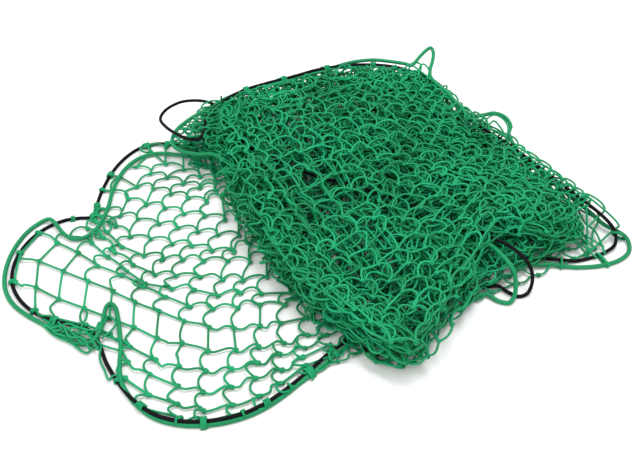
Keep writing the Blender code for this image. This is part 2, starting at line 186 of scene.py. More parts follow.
# Strands in the opening of the low corner, at the rope's standing bight and at the one behind it
CORNER_STRANDS = (
    (12, ((569, 196), (575, 203), (580, 214), (586, 224), (594, 230), (600, 241), (605, 254))),
    (10, ((588, 206), (597, 212), (598, 222), (593, 232), (592, 246))),
    (16, ((566, 204), (578, 209), (590, 215), (602, 222), (611, 228))),
    (8, ((578, 236), (586, 243), (590, 252), (597, 258))),
    (9, ((560, 226), (572, 233), (584, 235), (594, 241), (604, 247))),
)
PEAK_STRANDS = (
    (84, ((408, 70), (414, 62), (421, 65), (419, 73), (412, 76))),
    (84, ((417, 72), (423, 64), (429, 70), (427, 79))),
    (84, ((405, 68), (410, 64), (416, 68), (424, 74), (431, 80))),
)
BACK_BIGHT_STRANDS = (
    (71, ((484, 124), (488, 118), (495, 115), (503, 119), (508, 127), (507, 136))),
    (68, ((488, 126), (494, 121), (500, 127), (505, 135))),
    (70, ((478, 122), (486, 128), (496, 131), (508, 138))),
    (84, ((451, 108), (457, 103), (463, 109), (466, 119))),
    (84, ((458, 113), (465, 107), (472, 113), (475, 123))),
    (82, ((467, 119), (475, 112), (482, 117), (483, 127))),
    (82, ((474, 123), (481, 115), (487, 121), (489, 130))),
    (83, ((462, 105), (468, 116), (477, 120), (486, 118))),
)

# Windings round the cords: pixel, height in mm, turns, and whether it takes in the rope too
LASHINGS = (
    ((146, 147), 3, 3, False), ((166, 147), 3, 3, False), ((111, 176), 3, 3, False),
    ((97, 206), 3, 3, False), ((100, 218), 3, 2, False), ((73, 219), 3, 2, False),
    ((56, 318), 3, 3, False), ((142, 408), 3, 3, False), ((203, 423), 3, 4, True),
    ((268, 405), 3, 3, False), ((310, 375), 3, 5, True), ((332, 352), 3, 4, True),
    ((245, 89), 78, 3, False), ((283, 78), 79, 3, False), ((327, 66), 79, 3, False),
    ((373, 62), 78, 3, False), ((616, 240), 8, 2, True), ((598, 256), 3, 2, True),
    ((560, 262), 3, 1, True),
)

# cords, mm
ELASTIC = 6.4  # diameter
ROPE = 7.8  # diameter
EVEN_TONE = 0.5  # of the cords and the loose twine
TUCKED = ((376, 208, 64), (560, -40, 8))  # the rope's stretch under the end meshes
TUCK = np.array((-10.0, -9.0, -13.0))
TUCK_EASE = 0.2  # share of it over which that begins and ends
NESTLED_FRONT, NESTLED_RIGHT = -330.0, 60.0  # plan limits of the stretch with the elastic on the rope
RIDE_FROM = 6.5  # height under which the rope takes the elastic on
RIDE_FADE = 2.0  # and the drop in height over which that begins
RIDE_NEAR = 2 * ROPE  # how close the two have to lie
RIDE_SHARE = 0.62  # how far the rope moves in under it
RIDE_LIFT = 5.6
RIDE_EASE = 15  # points of the path over which that begins and ends

# Heights of a cord's middle, mm
FLOOR = 3.15
BESIDE = 3.45
OVER = 7.0
CROSS = 10.4
CAD_PITCH = 12.5  # mm from layer to layer of the part's own pile
FLOOR_GAP, UPPER_GAP = 0, 4  # the layers of that pile over which a cord's hidden runs lie

ELASTIC_FLAP = (
    (-232, 224, 6.8), (-252, 227, 4.6), (-270, 231, FLOOR), (-300, 240, FLOOR), (-340, 242, FLOOR),
    (-372, 226, FLOOR), (-396, 194, FLOOR), (-412, 155, FLOOR), (-422, 105, FLOOR), (-425, 62, FLOOR),
    (-422, 38, FLOOR),
    (-430, 25, FLOOR), (-452, 23, FLOOR), (-480, 16, FLOOR), (-510, -6, FLOOR), (-533, -42, FLOOR),
    (-543, -88, FLOOR), (-537, -134, FLOOR), (-516, -172, FLOOR), (-484, -202, FLOOR),
    (-445, -222, FLOOR), (-408, -232, FLOOR), (-378, -244, FLOOR), (-360, -268, FLOOR),
    (-343, -304, FLOOR), (-318, -342, FLOOR), (-290, -376, FLOOR), (-250, -406, FLOOR),
    (-206, -418, FLOOR), (-165, -417, FLOOR), (-125, -408, FLOOR), (-90, -391, FLOOR),
    (-58, -366, FLOOR), (-24, -332, FLOOR), (-3, -308, FLOOR), (15, -288, FLOOR),
    (33, -272, FLOOR), (54, -259, 4.5),
)
ELASTIC_FRONT_RUN = ((0.14, 0.91), (0.24, 0.90), (0.38, 0.92), (0.50, 0.955))
ELASTIC_FRONT_LOOP = (
    (306, -148, 6.7), (322, -160, 5.0), (340, -169, FLOOR), (356, -164, 6.0), (364, -151, 18.0),
    (362, -142, 36.0), (353, -133, 51.5), (337, -114, 58.0), (318, -92, 55.9),
)
ELASTIC_UPPER_RUN = (
    (0.60, 0.83), (0.56, 0.75), (0.51, 0.67), (0.40, 0.52), (0.26, 0.35), (0.13, 0.18), (0.06, 0.04),
)
ELASTIC_BACK_LOOP = (
    (-205, 287, 57.5), (-228, 308, 59.0), (-257, 318, 57.0), (-290, 318, 53.0), (-318, 300, 48.0),
    (-327, 270, 47.0), (-312, 238, 52.0), (-286, 204, 61.0), (-256, 176, 69.0), (-234, 172, 74.0),
    (-226, 198, 77.0), (-226, 236, 78.0),
)
ELASTIC_RIM = (
    (-206, 276, 78.0), (-162, 322, 78.0), (-110, 350, 78.5), (-60, 371, 79.0), (-5, 398, 79.0),
    (55, 414, 78.5), (110, 418, 78.0), (160, 411, 77.0), (206, 389, 76.0), (246, 356, 74.0),
    (268, 316, 70.0), (284, 270, 66.0), (318, 226, 61.0), (362, 186, 56.0), (404, 136, 51.0),
    (446, 84, 45.0), (486, 38, 38.0), (518, 4, 29.0), (536, -22, 19.0), (534, -50, 10.0),
    (514, -66, 5.0), (484, -79, FLOOR), (456, -87, 4.2), (434, -88, 6.9), (412, -85, 7.1),
)
RIM_END = -4  # the rim that the top layer is tied to ends at this point, where the corner opens
ELASTIC_LOW_RUN = ((0.75, 0.95), (0.66, 0.84), (0.50, 0.66), (0.32, 0.46), (0.16, 0.26), (0.04, 0.08))
ROPE_FLAP = (
    (-216, 190, 7.4), (-250, 196, OVER), (-290, 203, OVER), (-330, 207, OVER), (-362, 194, OVER),
    (-384, 166, OVER), (-396, 130, OVER), (-401, 92, OVER), (-401, 55, OVER), (-405, 20, OVER),
    (-412, -8, OVER), (-428, -30, OVER), (-450, -35, OVER), (-470, -22, OVER), (-483, -7, 9.0),
    (-494, 6, CROSS), (-506, 15, 8.6),
    (-525, 6, 4.4), (-543, -22, BESIDE), (-554, -66, BESIDE), (-554, -112, BESIDE),
    (-544, -152, BESIDE), (-522, -186, BESIDE), (-490, -212, BESIDE), (-458, -231, BESIDE),
    (-435, -246, BESIDE), (-416, -259, 4.2), (-394, -270, 5.0), (-374, -273, 8.4),
    (-364, -262, CROSS + 0.6), (-360, -240, CROSS), (-361, -214, OVER),
    (-361, -196, OVER), (-356, -188, OVER), (-346, -195, OVER), (-337, -219, OVER),
    (-329, -249, OVER), (-322, -277, OVER), (-319, -306, OVER), (-315, -330, OVER),
    (-307, -351, 6.4), (-292, -373, 4.6), (-275, -396, BESIDE),
    (-250, -415, BESIDE), (-210, -427, BESIDE), (-162, -427, BESIDE), (-118, -416, BESIDE),
    (-82, -398, BESIDE), (-48, -371, BESIDE), (-17, -339, BESIDE), (4, -315, BESIDE),
    (22, -295, BESIDE), (40, -279, BESIDE), (61, -266, 4.6),
)
ROPE_FRONT_RUN = ((0.14, 0.935), (0.24, 0.935), (0.36, 0.95), (0.46, 0.98))
ROPE_FRONT_LOOP = (
    (282, -166, 6.4), (304, -180, 4.2), (322, -184, 4.6), (332, -172, 14.0), (332, -160, 31.0),
    (329, -154, 46.0), (322, -145, 56.0), (307, -119, 58.2), (291, -97, 56.2),
)
ROPE_UPPER_RUN = ((0.52, 0.84), (0.44, 0.72), (0.33, 0.58), (0.20, 0.43), (0.07, 0.30))
ROPE_BACK = (
    (-204, 144, 56.5), (-238, 152, 51.0), (-272, 168, 46.0), (-293, 192, 45.0), (-291, 226, 47.0),
    (-270, 262, 48.0), (-234, 300, 49.0), (-190, 332, 56.0), (-130, 360, 64.0), (-70, 380, 67.0),
    (-20, 398, 68.0),
    (20, 412, 72.0), (65, 426, 78.0), (112, 433, 80.0), (152, 427, 80.0), (184, 415, 82.0),
    (195, 406, 84.0), (216, 432, 91.0), (231, 446, 98.0), (239, 448, 101.0), (243, 432, 98.0),
    (240, 413, 91.0), (233, 388, 86.0), (232, 366, 83.5), (242, 344, 81.5),
    (260, 319, 79.5), (275, 289, 77.0),
    (289, 264, 73.0), (306, 248, 70.0), (330, 252, 70.0),
    (352, 258, 70.0), (372, 246, 69.0), (380, 222, 66.0), (374, 200, 62.0),
    (396, 170, 58.0), (436, 118, 51.0), (478, 66, 43.0), (516, 26, 32.0), (545, -8, 18.0),
    (560, -38, 8.0), (556, -65, 4.4), (532, -86, BESIDE), (498, -98, BESIDE), (462, -102, BESIDE),
    (434, -101, 5.0), (410, -98, 7.1), (386, -100, 7.4),
)
ROPE_LOW_RUN = ((0.66, 0.92), (0.52, 0.76), (0.34, 0.57), (0.17, 0.37), (0.05, 0.20))

# twine that is tied to the cords
WIND_STEPS = 10  # points in one turn of a winding
WIND_SPACING = 1.05  # from turn to turn, as a multiple of the twine's diameter
LOOP_HALF = 0.36  # half an end loop's width as a share of the distance between its knots
LOOP_LIFT = 5.0  # mm, height of its tip over the cord's middle
LOOP_LEVEL = 0.3  # how much a difference in height counts in the direction it points
LOOP_ROUND, LOOP_TIP = 0.62, 0.96  # shares of its reach, beside the cord and at its tip's start
LOOP_HOME = 0.9  # share of its half width where it passes back under the cord
LEVEL_WEIGHT = 0.4  # how much height counts when an end mesh looks for its place on the cord
LEAST_WAY = 0.5  # mm, the least distance that two points of a line count as
FEWEST_POINTS = 4  # of a line

# the trefoil that stands for a tied knot, m
KNOT_REACH = 2.3 * MM  # from its middle to the middle of its twine
KNOT_SWING = 1.15 * MM  # by which that goes in and out
KNOT_RISE = 1.5 * MM
KNOT_TWINE = 0.95  # its twine's thickness as a share of a bar's
KNOT_WAYS, KNOT_LOBES = 2.0, 3.0  # turns of a trefoil round its middle, and its lobes

# how a twine's colour varies: random patches and fibres, and painted shade in the grooves between its
# strands
PATCH_SCALE, PATCH_DETAIL, PATCH_TONE = 9.0, 3.0, 0.9
FIBRE_SCALE, FIBRE_DETAIL, FIBRE_TONE = 900.0, 2.0, 0.5
NOISE_MEAN = 0.5
# painted shade: the strands' grooves darker and their crests lighter
HEIGHT_MEAN, GROOVE_SHADE = 0.6, 0.45
BUMP_STRENGTH = 0.8

NODES_IN_ROW, NODE_STEP = 12, (190, -230)  # how the nodes of a tree are set out in its editor


# ---------------------------------------------------------------- plan of the net


def through(keys: Sequence[float], values: Any, at: Any) -> np.ndarray:
    """Points on a smooth curve that passes through values at their keys.

    Args:
        keys: n rising numbers.
        values: n points of any dimension.
        at: the m numbers to look up.

    Returns:
        An array of m points.
    """
    keys, values = np.asarray(keys, float), np.asarray(values, float)
    at = np.atleast_1d(np.asarray(at, float))
    last = len(keys) - 1
    i = np.clip(np.searchsorted(keys, at, side="right") - 1, 0, last - 1)
    span = (keys[i + 1] - keys[i])[:, None]
    share = (at[:, None] - keys[i][:, None]) / span
    before, after = np.maximum(np.arange(last + 1) - 1, 0), np.minimum(np.arange(last + 1) + 1, last)
    slopes = (values[after] - values[before]) / (keys[after] - keys[before])[:, None]
    square, cube = share ** 2, share ** 3
    return (
        (2 * cube - 3 * square + 1) * values[i] + (cube - 2 * square + share) * slopes[i] * span
        + (3 * square - 2 * cube) * values[i + 1] + (cube - square) * slopes[i + 1] * span
    )


def along_side(points: Sequence[Any], share: Any) -> np.ndarray:
    """Points a share of the way along a side of the pile given by evenly keyed points."""
    return through(range(len(points)), points, np.asarray(share) * (len(points) - 1))


def on_plane(pixels: Sequence[Pair], height: float) -> Points:
    """Places that the camera sees at pixels of its image, on a level plane.

    Args:
        pixels: pixels from the image's top left corner.
        height: mm above the floor.

    Returns:
        An array (n, 3), mm.
    """
    pixels = np.asarray(pixels, float)
    reach = IMAGE_WIDTH / 2 / math.tan(HALF_VIEW)
    aside, up = pixels[:, 0] - IMAGE_WIDTH / 2, IMAGE_HEIGHT / 2 - pixels[:, 1]
    ray = np.stack((aside, CAMERA_SLOPE * (reach + up), CAMERA_SLOPE * (up - reach)), axis=1)
    eye = np.array((0.0, -CAMERA_BACK, CAMERA_HEIGHT)) / MM
    return eye + ray * ((height - eye[2]) / ray[:, 2])[:, None]


def smooth_step(value: Any) -> np.ndarray:
    """0 below 0, 1 above 1 and an even slope between."""
    value = np.clip(value, 0.0, 1.0)
    return value * value * (3 - 2 * value)


def pile_plan(across: Any, ahead: Any) -> np.ndarray:
    """Plan points of the pile.

    Args:
        across: m shares of its width, from the left.
        ahead: m shares of its depth, from the back.

    Returns:
        An array (m, 2), mm.
    """
    across, ahead = np.asarray(across, float), np.asarray(ahead, float)
    a, h = across[:, None], ahead[:, None]
    left, right = along_side(LEFT_SIDE, ahead), along_side(RIGHT_SIDE, ahead)
    back, front = along_side(BACK_SIDE, across), along_side(FRONT_SIDE, across)
    corners = [np.array(side[end], float) for end in (0, -1) for side in (LEFT_SIDE, RIGHT_SIDE)]
    from_corners = (1 - h) * ((1 - a) * corners[0] + a * corners[1]) + h * (
        (1 - a) * corners[2] + a * corners[3]
    )
    return (1 - a) * left + a * right + (1 - h) * back + h * front - from_corners


def sinking(across: np.ndarray, ahead: np.ndarray) -> np.ndarray:
    """How far the pile is down, from 0 to 1 at its right front corner."""
    return smooth_step((across - LOW_FROM) / (1 - LOW_FROM)) * (LOW_BACK + (1 - LOW_BACK) * ahead)


def unit(vectors: np.ndarray) -> np.ndarray:
    """Vectors of length 1."""
    return vectors / np.maximum(np.linalg.norm(vectors, axis=-1, keepdims=True), 1e-9)


def turned(vectors: np.ndarray, angle: np.ndarray) -> np.ndarray:
    """Vectors turned about Z.

    Args:
        vectors: (n, 3) vectors.
        angle: the turn of each, radians.

    Returns:
        An array (n, 3).
    """
    cos, sin = np.cos(angle), np.sin(angle)
    x, y = vectors[:, 0], vectors[:, 1]
    return np.stack((x * cos - y * sin, x * sin + y * cos, vectors[:, 2]), axis=1)


def bow_turn(chord: np.ndarray, length: np.ndarray, most: float) -> np.ndarray:
    """The turn at both ends, in radians, of bars that bow out over their chords.

    Args:
        chord: mm between the ends of each.
        length: mm of twine in each.
        most: the largest share by which a bar counts as shorter than its twine.

    Returns:
        An array of one turn each.
    """
    return np.sqrt(BOW_SHORTENING * np.clip(1 - chord / length, LEAST_SLACK, most))


def bent_bars(
    start: Points, end: Points, leave: np.ndarray, arrive: np.ndarray, length: np.ndarray
) -> np.ndarray:
    """Curved bars of a given length between pairs of points.

    Args:
        start: (n, 3) first ends of the bars.
        end: (n, 3) their other ends.
        leave: (n, 3) unit directions at the first ends.
        arrive: (n, 3) unit directions at the other ends.
        length: mm, length of each bar.

    Returns:
        (n, BAR_STEPS + 1, 3) points.
    """
    t = np.linspace(0, 1, BAR_STEPS + 1)[None, :, None]
    square, cube = t ** 2, t ** 3

    def shape(pull: np.ndarray) -> np.ndarray:
        """The bars' points when their ends pull this strongly, mm."""
        pull = pull[:, None, None]
        return (
            (2 * cube - 3 * square + 1) * start[:, None] + (cube - 2 * square + t) * pull * leave[:, None]
            + (3 * square - 2 * cube) * end[:, None] + (cube - square) * pull * arrive[:, None]
        )

    low, high = (np.full(len(start), share * length) for share in PULLS)
    for _ in range(HALVINGS):
        pull = (low + high) / 2
        total = np.linalg.norm(np.diff(shape(pull), axis=1), axis=2).sum(axis=1)
        over = total > length
        low, high = np.where(over, low, pull), np.where(over, pull, high)
    return shape(low)


# ---------------------------------------------------------------- node trees


@dataclass
class Tree:
    """A node tree that is filled one node at a time."""

    tree: bpy.types.NodeTree

    def add(self, kind: str, inputs: dict[Any, Any] | None = None, **settings: Any) -> bpy.types.Node:
        """Add a node.

        Args:
            kind: the node's type name.
            inputs: socket name or number to a value or an output socket.
            settings: properties of the node.

        Returns:
            The node.
        """
        node = self.tree.nodes.new(kind)
        row, column = divmod(len(self.tree.nodes), NODES_IN_ROW)
        node.location = (NODE_STEP[0] * column, NODE_STEP[1] * row)
        for key, value in settings.items():
            setattr(node, key, value)
        for key, value in (inputs or {}).items():
            if isinstance(value, bpy.types.NodeSocket):
                self.link(value, node.inputs[key])
            else:
                node.inputs[key].default_value = value
        return node

    def link(self, output: bpy.types.NodeSocket, socket: bpy.types.NodeSocket) -> None:
        """Join an output to an input."""
        self.tree.links.new(output, socket)

    def maths(self, operation: str, *values: Any) -> bpy.types.NodeSocket:
        """Add a math node and return its output."""
        return self.add("ShaderNodeMath", dict(enumerate(values)), operation=operation).outputs[0]

    def named(self, name: str, kind: str) -> bpy.types.NodeSocket:
        """The output of a named attribute."""
        return self.add("GeometryNodeInputNamedAttribute", {"Name": name}, data_type=kind).outputs[0]

    def stored(
        self, geometry: bpy.types.NodeSocket, name: str, value: bpy.types.NodeSocket, kind: str
    ) -> bpy.types.NodeSocket:
        """Geometry with a value stored on its points.

        Args:
            geometry: the geometry.
            name: the attribute's name.
            value: what it holds.
            kind: its data type.

        Returns:
            The geometry's socket.
        """
        held = {"Geometry": geometry, "Name": name}
        node = self.add("GeometryNodeStoreNamedAttribute", held, data_type=kind)
        self.link(value, node.inputs["Value"])
        return node.outputs[0]

    def tube(
        self, curve: bpy.types.NodeSocket, radius: bpy.types.NodeSocket, sides: bpy.types.NodeSocket
    ) -> bpy.types.NodeSocket:
        """A capped tube round a curve, with the attributes ring (round it) and run (along it, m).

        Args:
            curve: the curve's socket.
            radius: the tube's radius, m.
            sides: faces round it.

        Returns:
            The tube's socket.
        """
        run = self.add("GeometryNodeSplineParameter").outputs["Length"]
        curve = self.stored(curve, "run", run, "FLOAT")
        circle = {"Resolution": sides, "Radius": radius}
        profile = self.add("GeometryNodeCurvePrimitiveCircle", circle).outputs[0]
        place = self.add("GeometryNodeInputPosition").outputs[0]
        ring = self.add("ShaderNodeVectorMath", {0: place}, operation="NORMALIZE").outputs[0]
        profile = self.stored(profile, "ring", ring, "FLOAT_VECTOR")
        swept = {"Curve": curve, "Profile Curve": profile, "Fill Caps": True}
        return self.add("GeometryNodeCurveToMesh", swept).outputs[0]

    def finish(
        self, geometry: bpy.types.NodeSocket, paint: bpy.types.NodeSocket, result: bpy.types.Node
    ) -> None:
        """Make geometry real, smooth and painted, and put it out.

        Args:
            geometry: what the tree has made.
            paint: its material.
            result: the group's output node.
        """
        plain = self.add("GeometryNodeRealizeInstances", {"Geometry": geometry}).outputs[0]
        smooth = self.add("GeometryNodeSetShadeSmooth", {0: plain}).outputs[0]
        painted = self.add("GeometryNodeSetMaterial", {"Geometry": smooth, "Material": paint}).outputs[0]
        self.link(painted, result.inputs[0])


def group_with(
    name: str, kind: str, inputs: Sequence[tuple[str, str, Any]], outputs: Sequence[tuple[str, str]]
) -> tuple[Tree, bpy.types.Node, bpy.types.Node]:
    """A node group with named sockets.

    Args:
        name: the group's name.
        kind: its tree type.
        inputs: name, socket type and default of each input.
        outputs: name and socket type of each output.

    Returns:
        The tree, its group input node and its group output node.
    """
    group = bpy.data.node_groups.new(name, kind)
    for socket, socket_kind, default in inputs:
        item = group.interface.new_socket(socket, in_out="INPUT", socket_type=socket_kind)
        if default is not None:
            item.default_value = default
    for socket, socket_kind in outputs:
        group.interface.new_socket(socket, in_out="OUTPUT", socket_type=socket_kind)
    tree = Tree(group)
    return tree, tree.add("NodeGroupInput"), tree.add("NodeGroupOutput")


def trefoil(tree: Tree, steps: bpy.types.NodeSocket) -> bpy.types.NodeSocket:
    """The line of a knot: a trefoil, so three turns of twine show from any side.

    Args:
        tree: the tree it is added to.
        steps: how many points it has.

    Returns:
        The closed curve's socket.
    """
    circle = tree.add("GeometryNodeMeshCircle", {"Vertices": steps, "Radius": 1.0}).outputs[0]
    index = tree.add("GeometryNodeInputIndex").outputs[0]
    turn = tree.maths("MULTIPLY", tree.maths("DIVIDE", index, steps), FULL_TURN)
    twice, thrice = tree.maths("MULTIPLY", turn, KNOT_WAYS), tree.maths("MULTIPLY", turn, KNOT_LOBES)
    reach = tree.maths("MULTIPLY_ADD", tree.maths("COSINE", thrice), KNOT_SWING, KNOT_REACH)
    place = tree.add("ShaderNodeCombineXYZ", {
        "X": tree.maths("MULTIPLY", tree.maths("COSINE", twice), reach),
        "Y": tree.maths("MULTIPLY", tree.maths("SINE", twice), reach),
        "Z": tree.maths("MULTIPLY", tree.maths("SINE", thrice), KNOT_RISE),
    }).outputs[0]
    circle = tree.add("GeometryNodeSetPosition", {"Geometry": circle, "Position": place}).outputs[0]
    return tree.add("GeometryNodeMeshToCurve", {"Mesh": circle}).outputs[0]


def twine_tree() -> bpy.types.NodeTree:
    """Build the tree that makes tubes along a mesh of edges and ties a knot at its loose points.

    Returns:
        The node group knotted_twine.
    """
    tree, given, result = group_with(
        "knotted_twine", "GeometryNodeTree",
        [("Geometry", "NodeSocketGeometry", None), ("Radius", "NodeSocketFloat", 0.0015),
         ("Sides", "NodeSocketInt", 5), ("Smoothness", "NodeSocketInt", 2),
         ("Knot Sides", "NodeSocketInt", 4), ("Knot Steps", "NodeSocketInt", 16),
         ("Material", "NodeSocketMaterial", None)],
        [("Geometry", "NodeSocketGeometry")],
    )
    inputs = given.outputs
    choice = {"Geometry": inputs["Geometry"], "Selection": tree.named("is_knot", "BOOLEAN")}
    parts = tree.add("GeometryNodeSeparateGeometry", choice)
    curves = tree.add("GeometryNodeMeshToCurve", {"Mesh": parts.outputs["Inverted"]}).outputs[0]
    curves = tree.add(
        "GeometryNodeCurveSplineType", {"Curve": curves}, spline_type="CATMULL_ROM"
    ).outputs[0]
    finer = {"Geometry": curves, "Resolution": inputs["Smoothness"]}
    curves = tree.add("GeometryNodeSetSplineResolution", finer).outputs[0]
    bars = tree.tube(curves, inputs["Radius"], inputs["Sides"])
    loop = trefoil(tree, inputs["Knot Steps"])
    knot = tree.tube(loop, tree.maths("MULTIPLY", inputs["Radius"], KNOT_TWINE), inputs["Knot Sides"])
    turn = tree.add("FunctionNodeEulerToRotation", {0: tree.named("turn", "FLOAT_VECTOR")}).outputs[0]
    dots = tree.add("GeometryNodeMeshToPoints", {"Mesh": parts.outputs["Selection"]}).outputs[0]
    size = tree.named("size", "FLOAT_VECTOR")
    knots = tree.add(
        "GeometryNodeInstanceOnPoints", {"Points": dots, "Instance": knot, "Rotation": turn, "Scale": size}
    ).outputs[0]
    both = tree.add("GeometryNodeJoinGeometry")
    tree.link(bars, both.inputs[0])
    tree.link(knots, both.inputs[0])
    tree.finish(both.outputs[0], inputs["Material"], result)
    return tree.tree


def cord_tree() -> bpy.types.NodeTree:
    """Build the tree that makes a round cord along a mesh of edges.

    Returns:
        The node group round_cord.
    """
    tree, given, result = group_with(
        "round_cord", "GeometryNodeTree",
        [("Geometry", "NodeSocketGeometry", None), ("Radius", "NodeSocketFloat", 0.003),
         ("Sides", "NodeSocketInt", 12), ("Material", "NodeSocketMaterial", None)],
        [("Geometry", "NodeSocketGeometry")],
    )
    curves = tree.add("GeometryNodeMeshToCurve", {"Mesh": given.outputs["Geometry"]}).outputs[0]
    body = tree.tube(curves, given.outputs["Radius"], given.outputs["Sides"])
    tree.finish(body, given.outputs["Material"], result)
    return tree.tree


def grown(obj: bpy.types.Object, group: bpy.types.NodeTree, values: dict[str, Any]) -> None:
    """Run a Geometry Nodes group on an object and keep its result as the object's plain mesh.

    Args:
        obj: the object.
        group: the node group.
        values: the name of each input that is set, and its value.
    """
    modifier = obj.modifiers.new(group.name, "NODES")
    modifier.node_group = group
    sockets = {item.name: item.identifier for item in group.interface.items_tree if item.in_out == "INPUT"}
    for name, value in values.items():
        modifier[sockets[name]] = value
    bpy.context.view_layer.update()
    depsgraph = bpy.context.evaluated_depsgraph_get()
    evaluated = obj.evaluated_get(depsgraph)
    mesh = bpy.data.meshes.new_from_object(evaluated, preserve_all_data_layers=True, depsgraph=depsgraph)
    old = obj.data
    obj.modifiers.remove(modifier)
    obj.data = mesh
    bpy.data.meshes.remove(old)
    mesh.name = obj.name


# ---------------------------------------------------------------- finishes


class Weave(Enum):
    """How a cord's surface is made."""

    TWISTED = "twisted"
    BRAIDED = "braided"


@dataclass(frozen=True)
class Finish:
    """One material of the net.

    Args:
        name: the material's name.
        deep: linear colour of its darkest tone, for random darker twine and painted shade.
        light: and of its lightest tone, for random lighter twine and painted light.
        roughness: of the surface.
        shine: its specular level.
        weave: how its strands lie.
        strands: how many go round.
        pitch: m, along which a strand goes once round.
        bump: m, height of the strands.
    """

    name: str
    deep: Spot
    light: Spot
    roughness: float
    shine: float
    weave: Weave
    strands: int
    pitch: float
    bump: float

    def material(self, strands: bpy.types.NodeTree, tones: bpy.types.NodeTree) -> bpy.types.Material:
        """Build the finish's material.

        Args:
            strands: the group that gives the strands' height.
            tones: the group that gives the colour.

        Returns:
            The material.
        """
        made = bpy.data.materials.new(self.name)
        made.use_nodes = True
        tree = Tree(made.node_tree)
        shader = made.node_tree.nodes["Principled BSDF"]
        ring = tree.add("ShaderNodeAttribute", attribute_name="ring").outputs["Vector"]
        run = tree.add("ShaderNodeAttribute", attribute_name="run").outputs["Fac"]
        tone = tree.add("ShaderNodeAttribute", attribute_name="tone").outputs["Fac"]
        height = tree.add("ShaderNodeGroup", node_tree=strands)
        height.inputs["Strands"].default_value = float(self.strands)
        height.inputs["Pitch"].default_value = self.pitch
        height.inputs["Crossed"].default_value = 1.0 if self.weave is Weave.BRAIDED else 0.0
        tree.link(ring, height.inputs["Ring"])
        tree.link(run, height.inputs["Run"])
        colour = tree.add("ShaderNodeGroup", node_tree=tones)
        colour.inputs["Deep"].default_value = (*self.deep, 1.0)
        colour.inputs["Light"].default_value = (*self.light, 1.0)
        tree.link(tone, colour.inputs["Tone"])
        # the strands' height also sets the colour: painted shade in their grooves
        tree.link(height.outputs[0], colour.inputs["Height"])
        relief = {"Height": height.outputs[0], "Strength": BUMP_STRENGTH, "Distance": self.bump}
        bump = tree.add("ShaderNodeBump", relief)
        tree.link(colour.outputs[0], shader.inputs["Base Color"])
        tree.link(bump.outputs[0], shader.inputs["Normal"])
        shader.inputs["Roughness"].default_value = self.roughness
        shader.inputs["Specular IOR Level"].default_value = self.shine
        return made


GREEN_TWINE = Finish(
    name="green_twine", deep=(0.0003, 0.150, 0.042), light=(0.006, 0.44, 0.185),
    roughness=0.45, shine=0.26, weave=Weave.TWISTED, strands=3, pitch=0.011, bump=0.0004,
)
GREEN_ROPE = Finish(
    name="green_rope", deep=(0.0004, 0.13, 0.042), light=(0.0035, 0.30, 0.115),
    roughness=0.45, shine=0.26, weave=Weave.BRAIDED, strands=4, pitch=0.022, bump=0.0004,
)
BLACK_ELASTIC = Finish(
    name="black_elastic", deep=(0.0022, 0.0019, 0.0032), light=(0.007, 0.006, 0.009),
    roughness=0.7, shine=0.10, weave=Weave.BRAIDED, strands=8, pitch=0.016, bump=0.00025,
)


def strand_group() -> bpy.types.NodeTree:
    """Build the group that gives the height of a twisted or braided cord's strands.

    Returns:
        The shader group strands, which reads where a point is round and along the cord.
    """
    tree, given, result = group_with(
        "strands", "ShaderNodeTree",
        [("Ring", "NodeSocketVector", None), ("Run", "NodeSocketFloat", 0.0),
         ("Strands", "NodeSocketFloat", 3.0), ("Pitch", "NodeSocketFloat", 0.01),
         ("Crossed", "NodeSocketFloat", 0.0)],
        [("Height", "NodeSocketFloat")],
    )
    ring = tree.add("ShaderNodeSeparateXYZ", {0: given.outputs["Ring"]})
    angle = tree.maths("ARCTAN2", ring.outputs["Y"], ring.outputs["X"])
    round_it = tree.maths("MULTIPLY", angle, given.outputs["Strands"])
    pitches = tree.maths("DIVIDE", given.outputs["Run"], given.outputs["Pitch"])
    turns = tree.maths("MULTIPLY", pitches, FULL_TURN)
    along = tree.maths("MULTIPLY", turns, given.outputs["Strands"])
    one = tree.maths("COSINE", tree.maths("ADD", round_it, along))
    other = tree.maths("COSINE", tree.maths("SUBTRACT", round_it, along))
    crossed = tree.maths("MAXIMUM", one, other)
    both = tree.add("ShaderNodeMix", {0: given.outputs["Crossed"], 2: one, 3: crossed}, data_type="FLOAT")
    share = tree.maths("MULTIPLY_ADD", both.outputs[0], 0.5, 0.5)  # from -1 to 1 into 0 to 1
    tree.link(share, result.inputs[0])
    return tree.tree


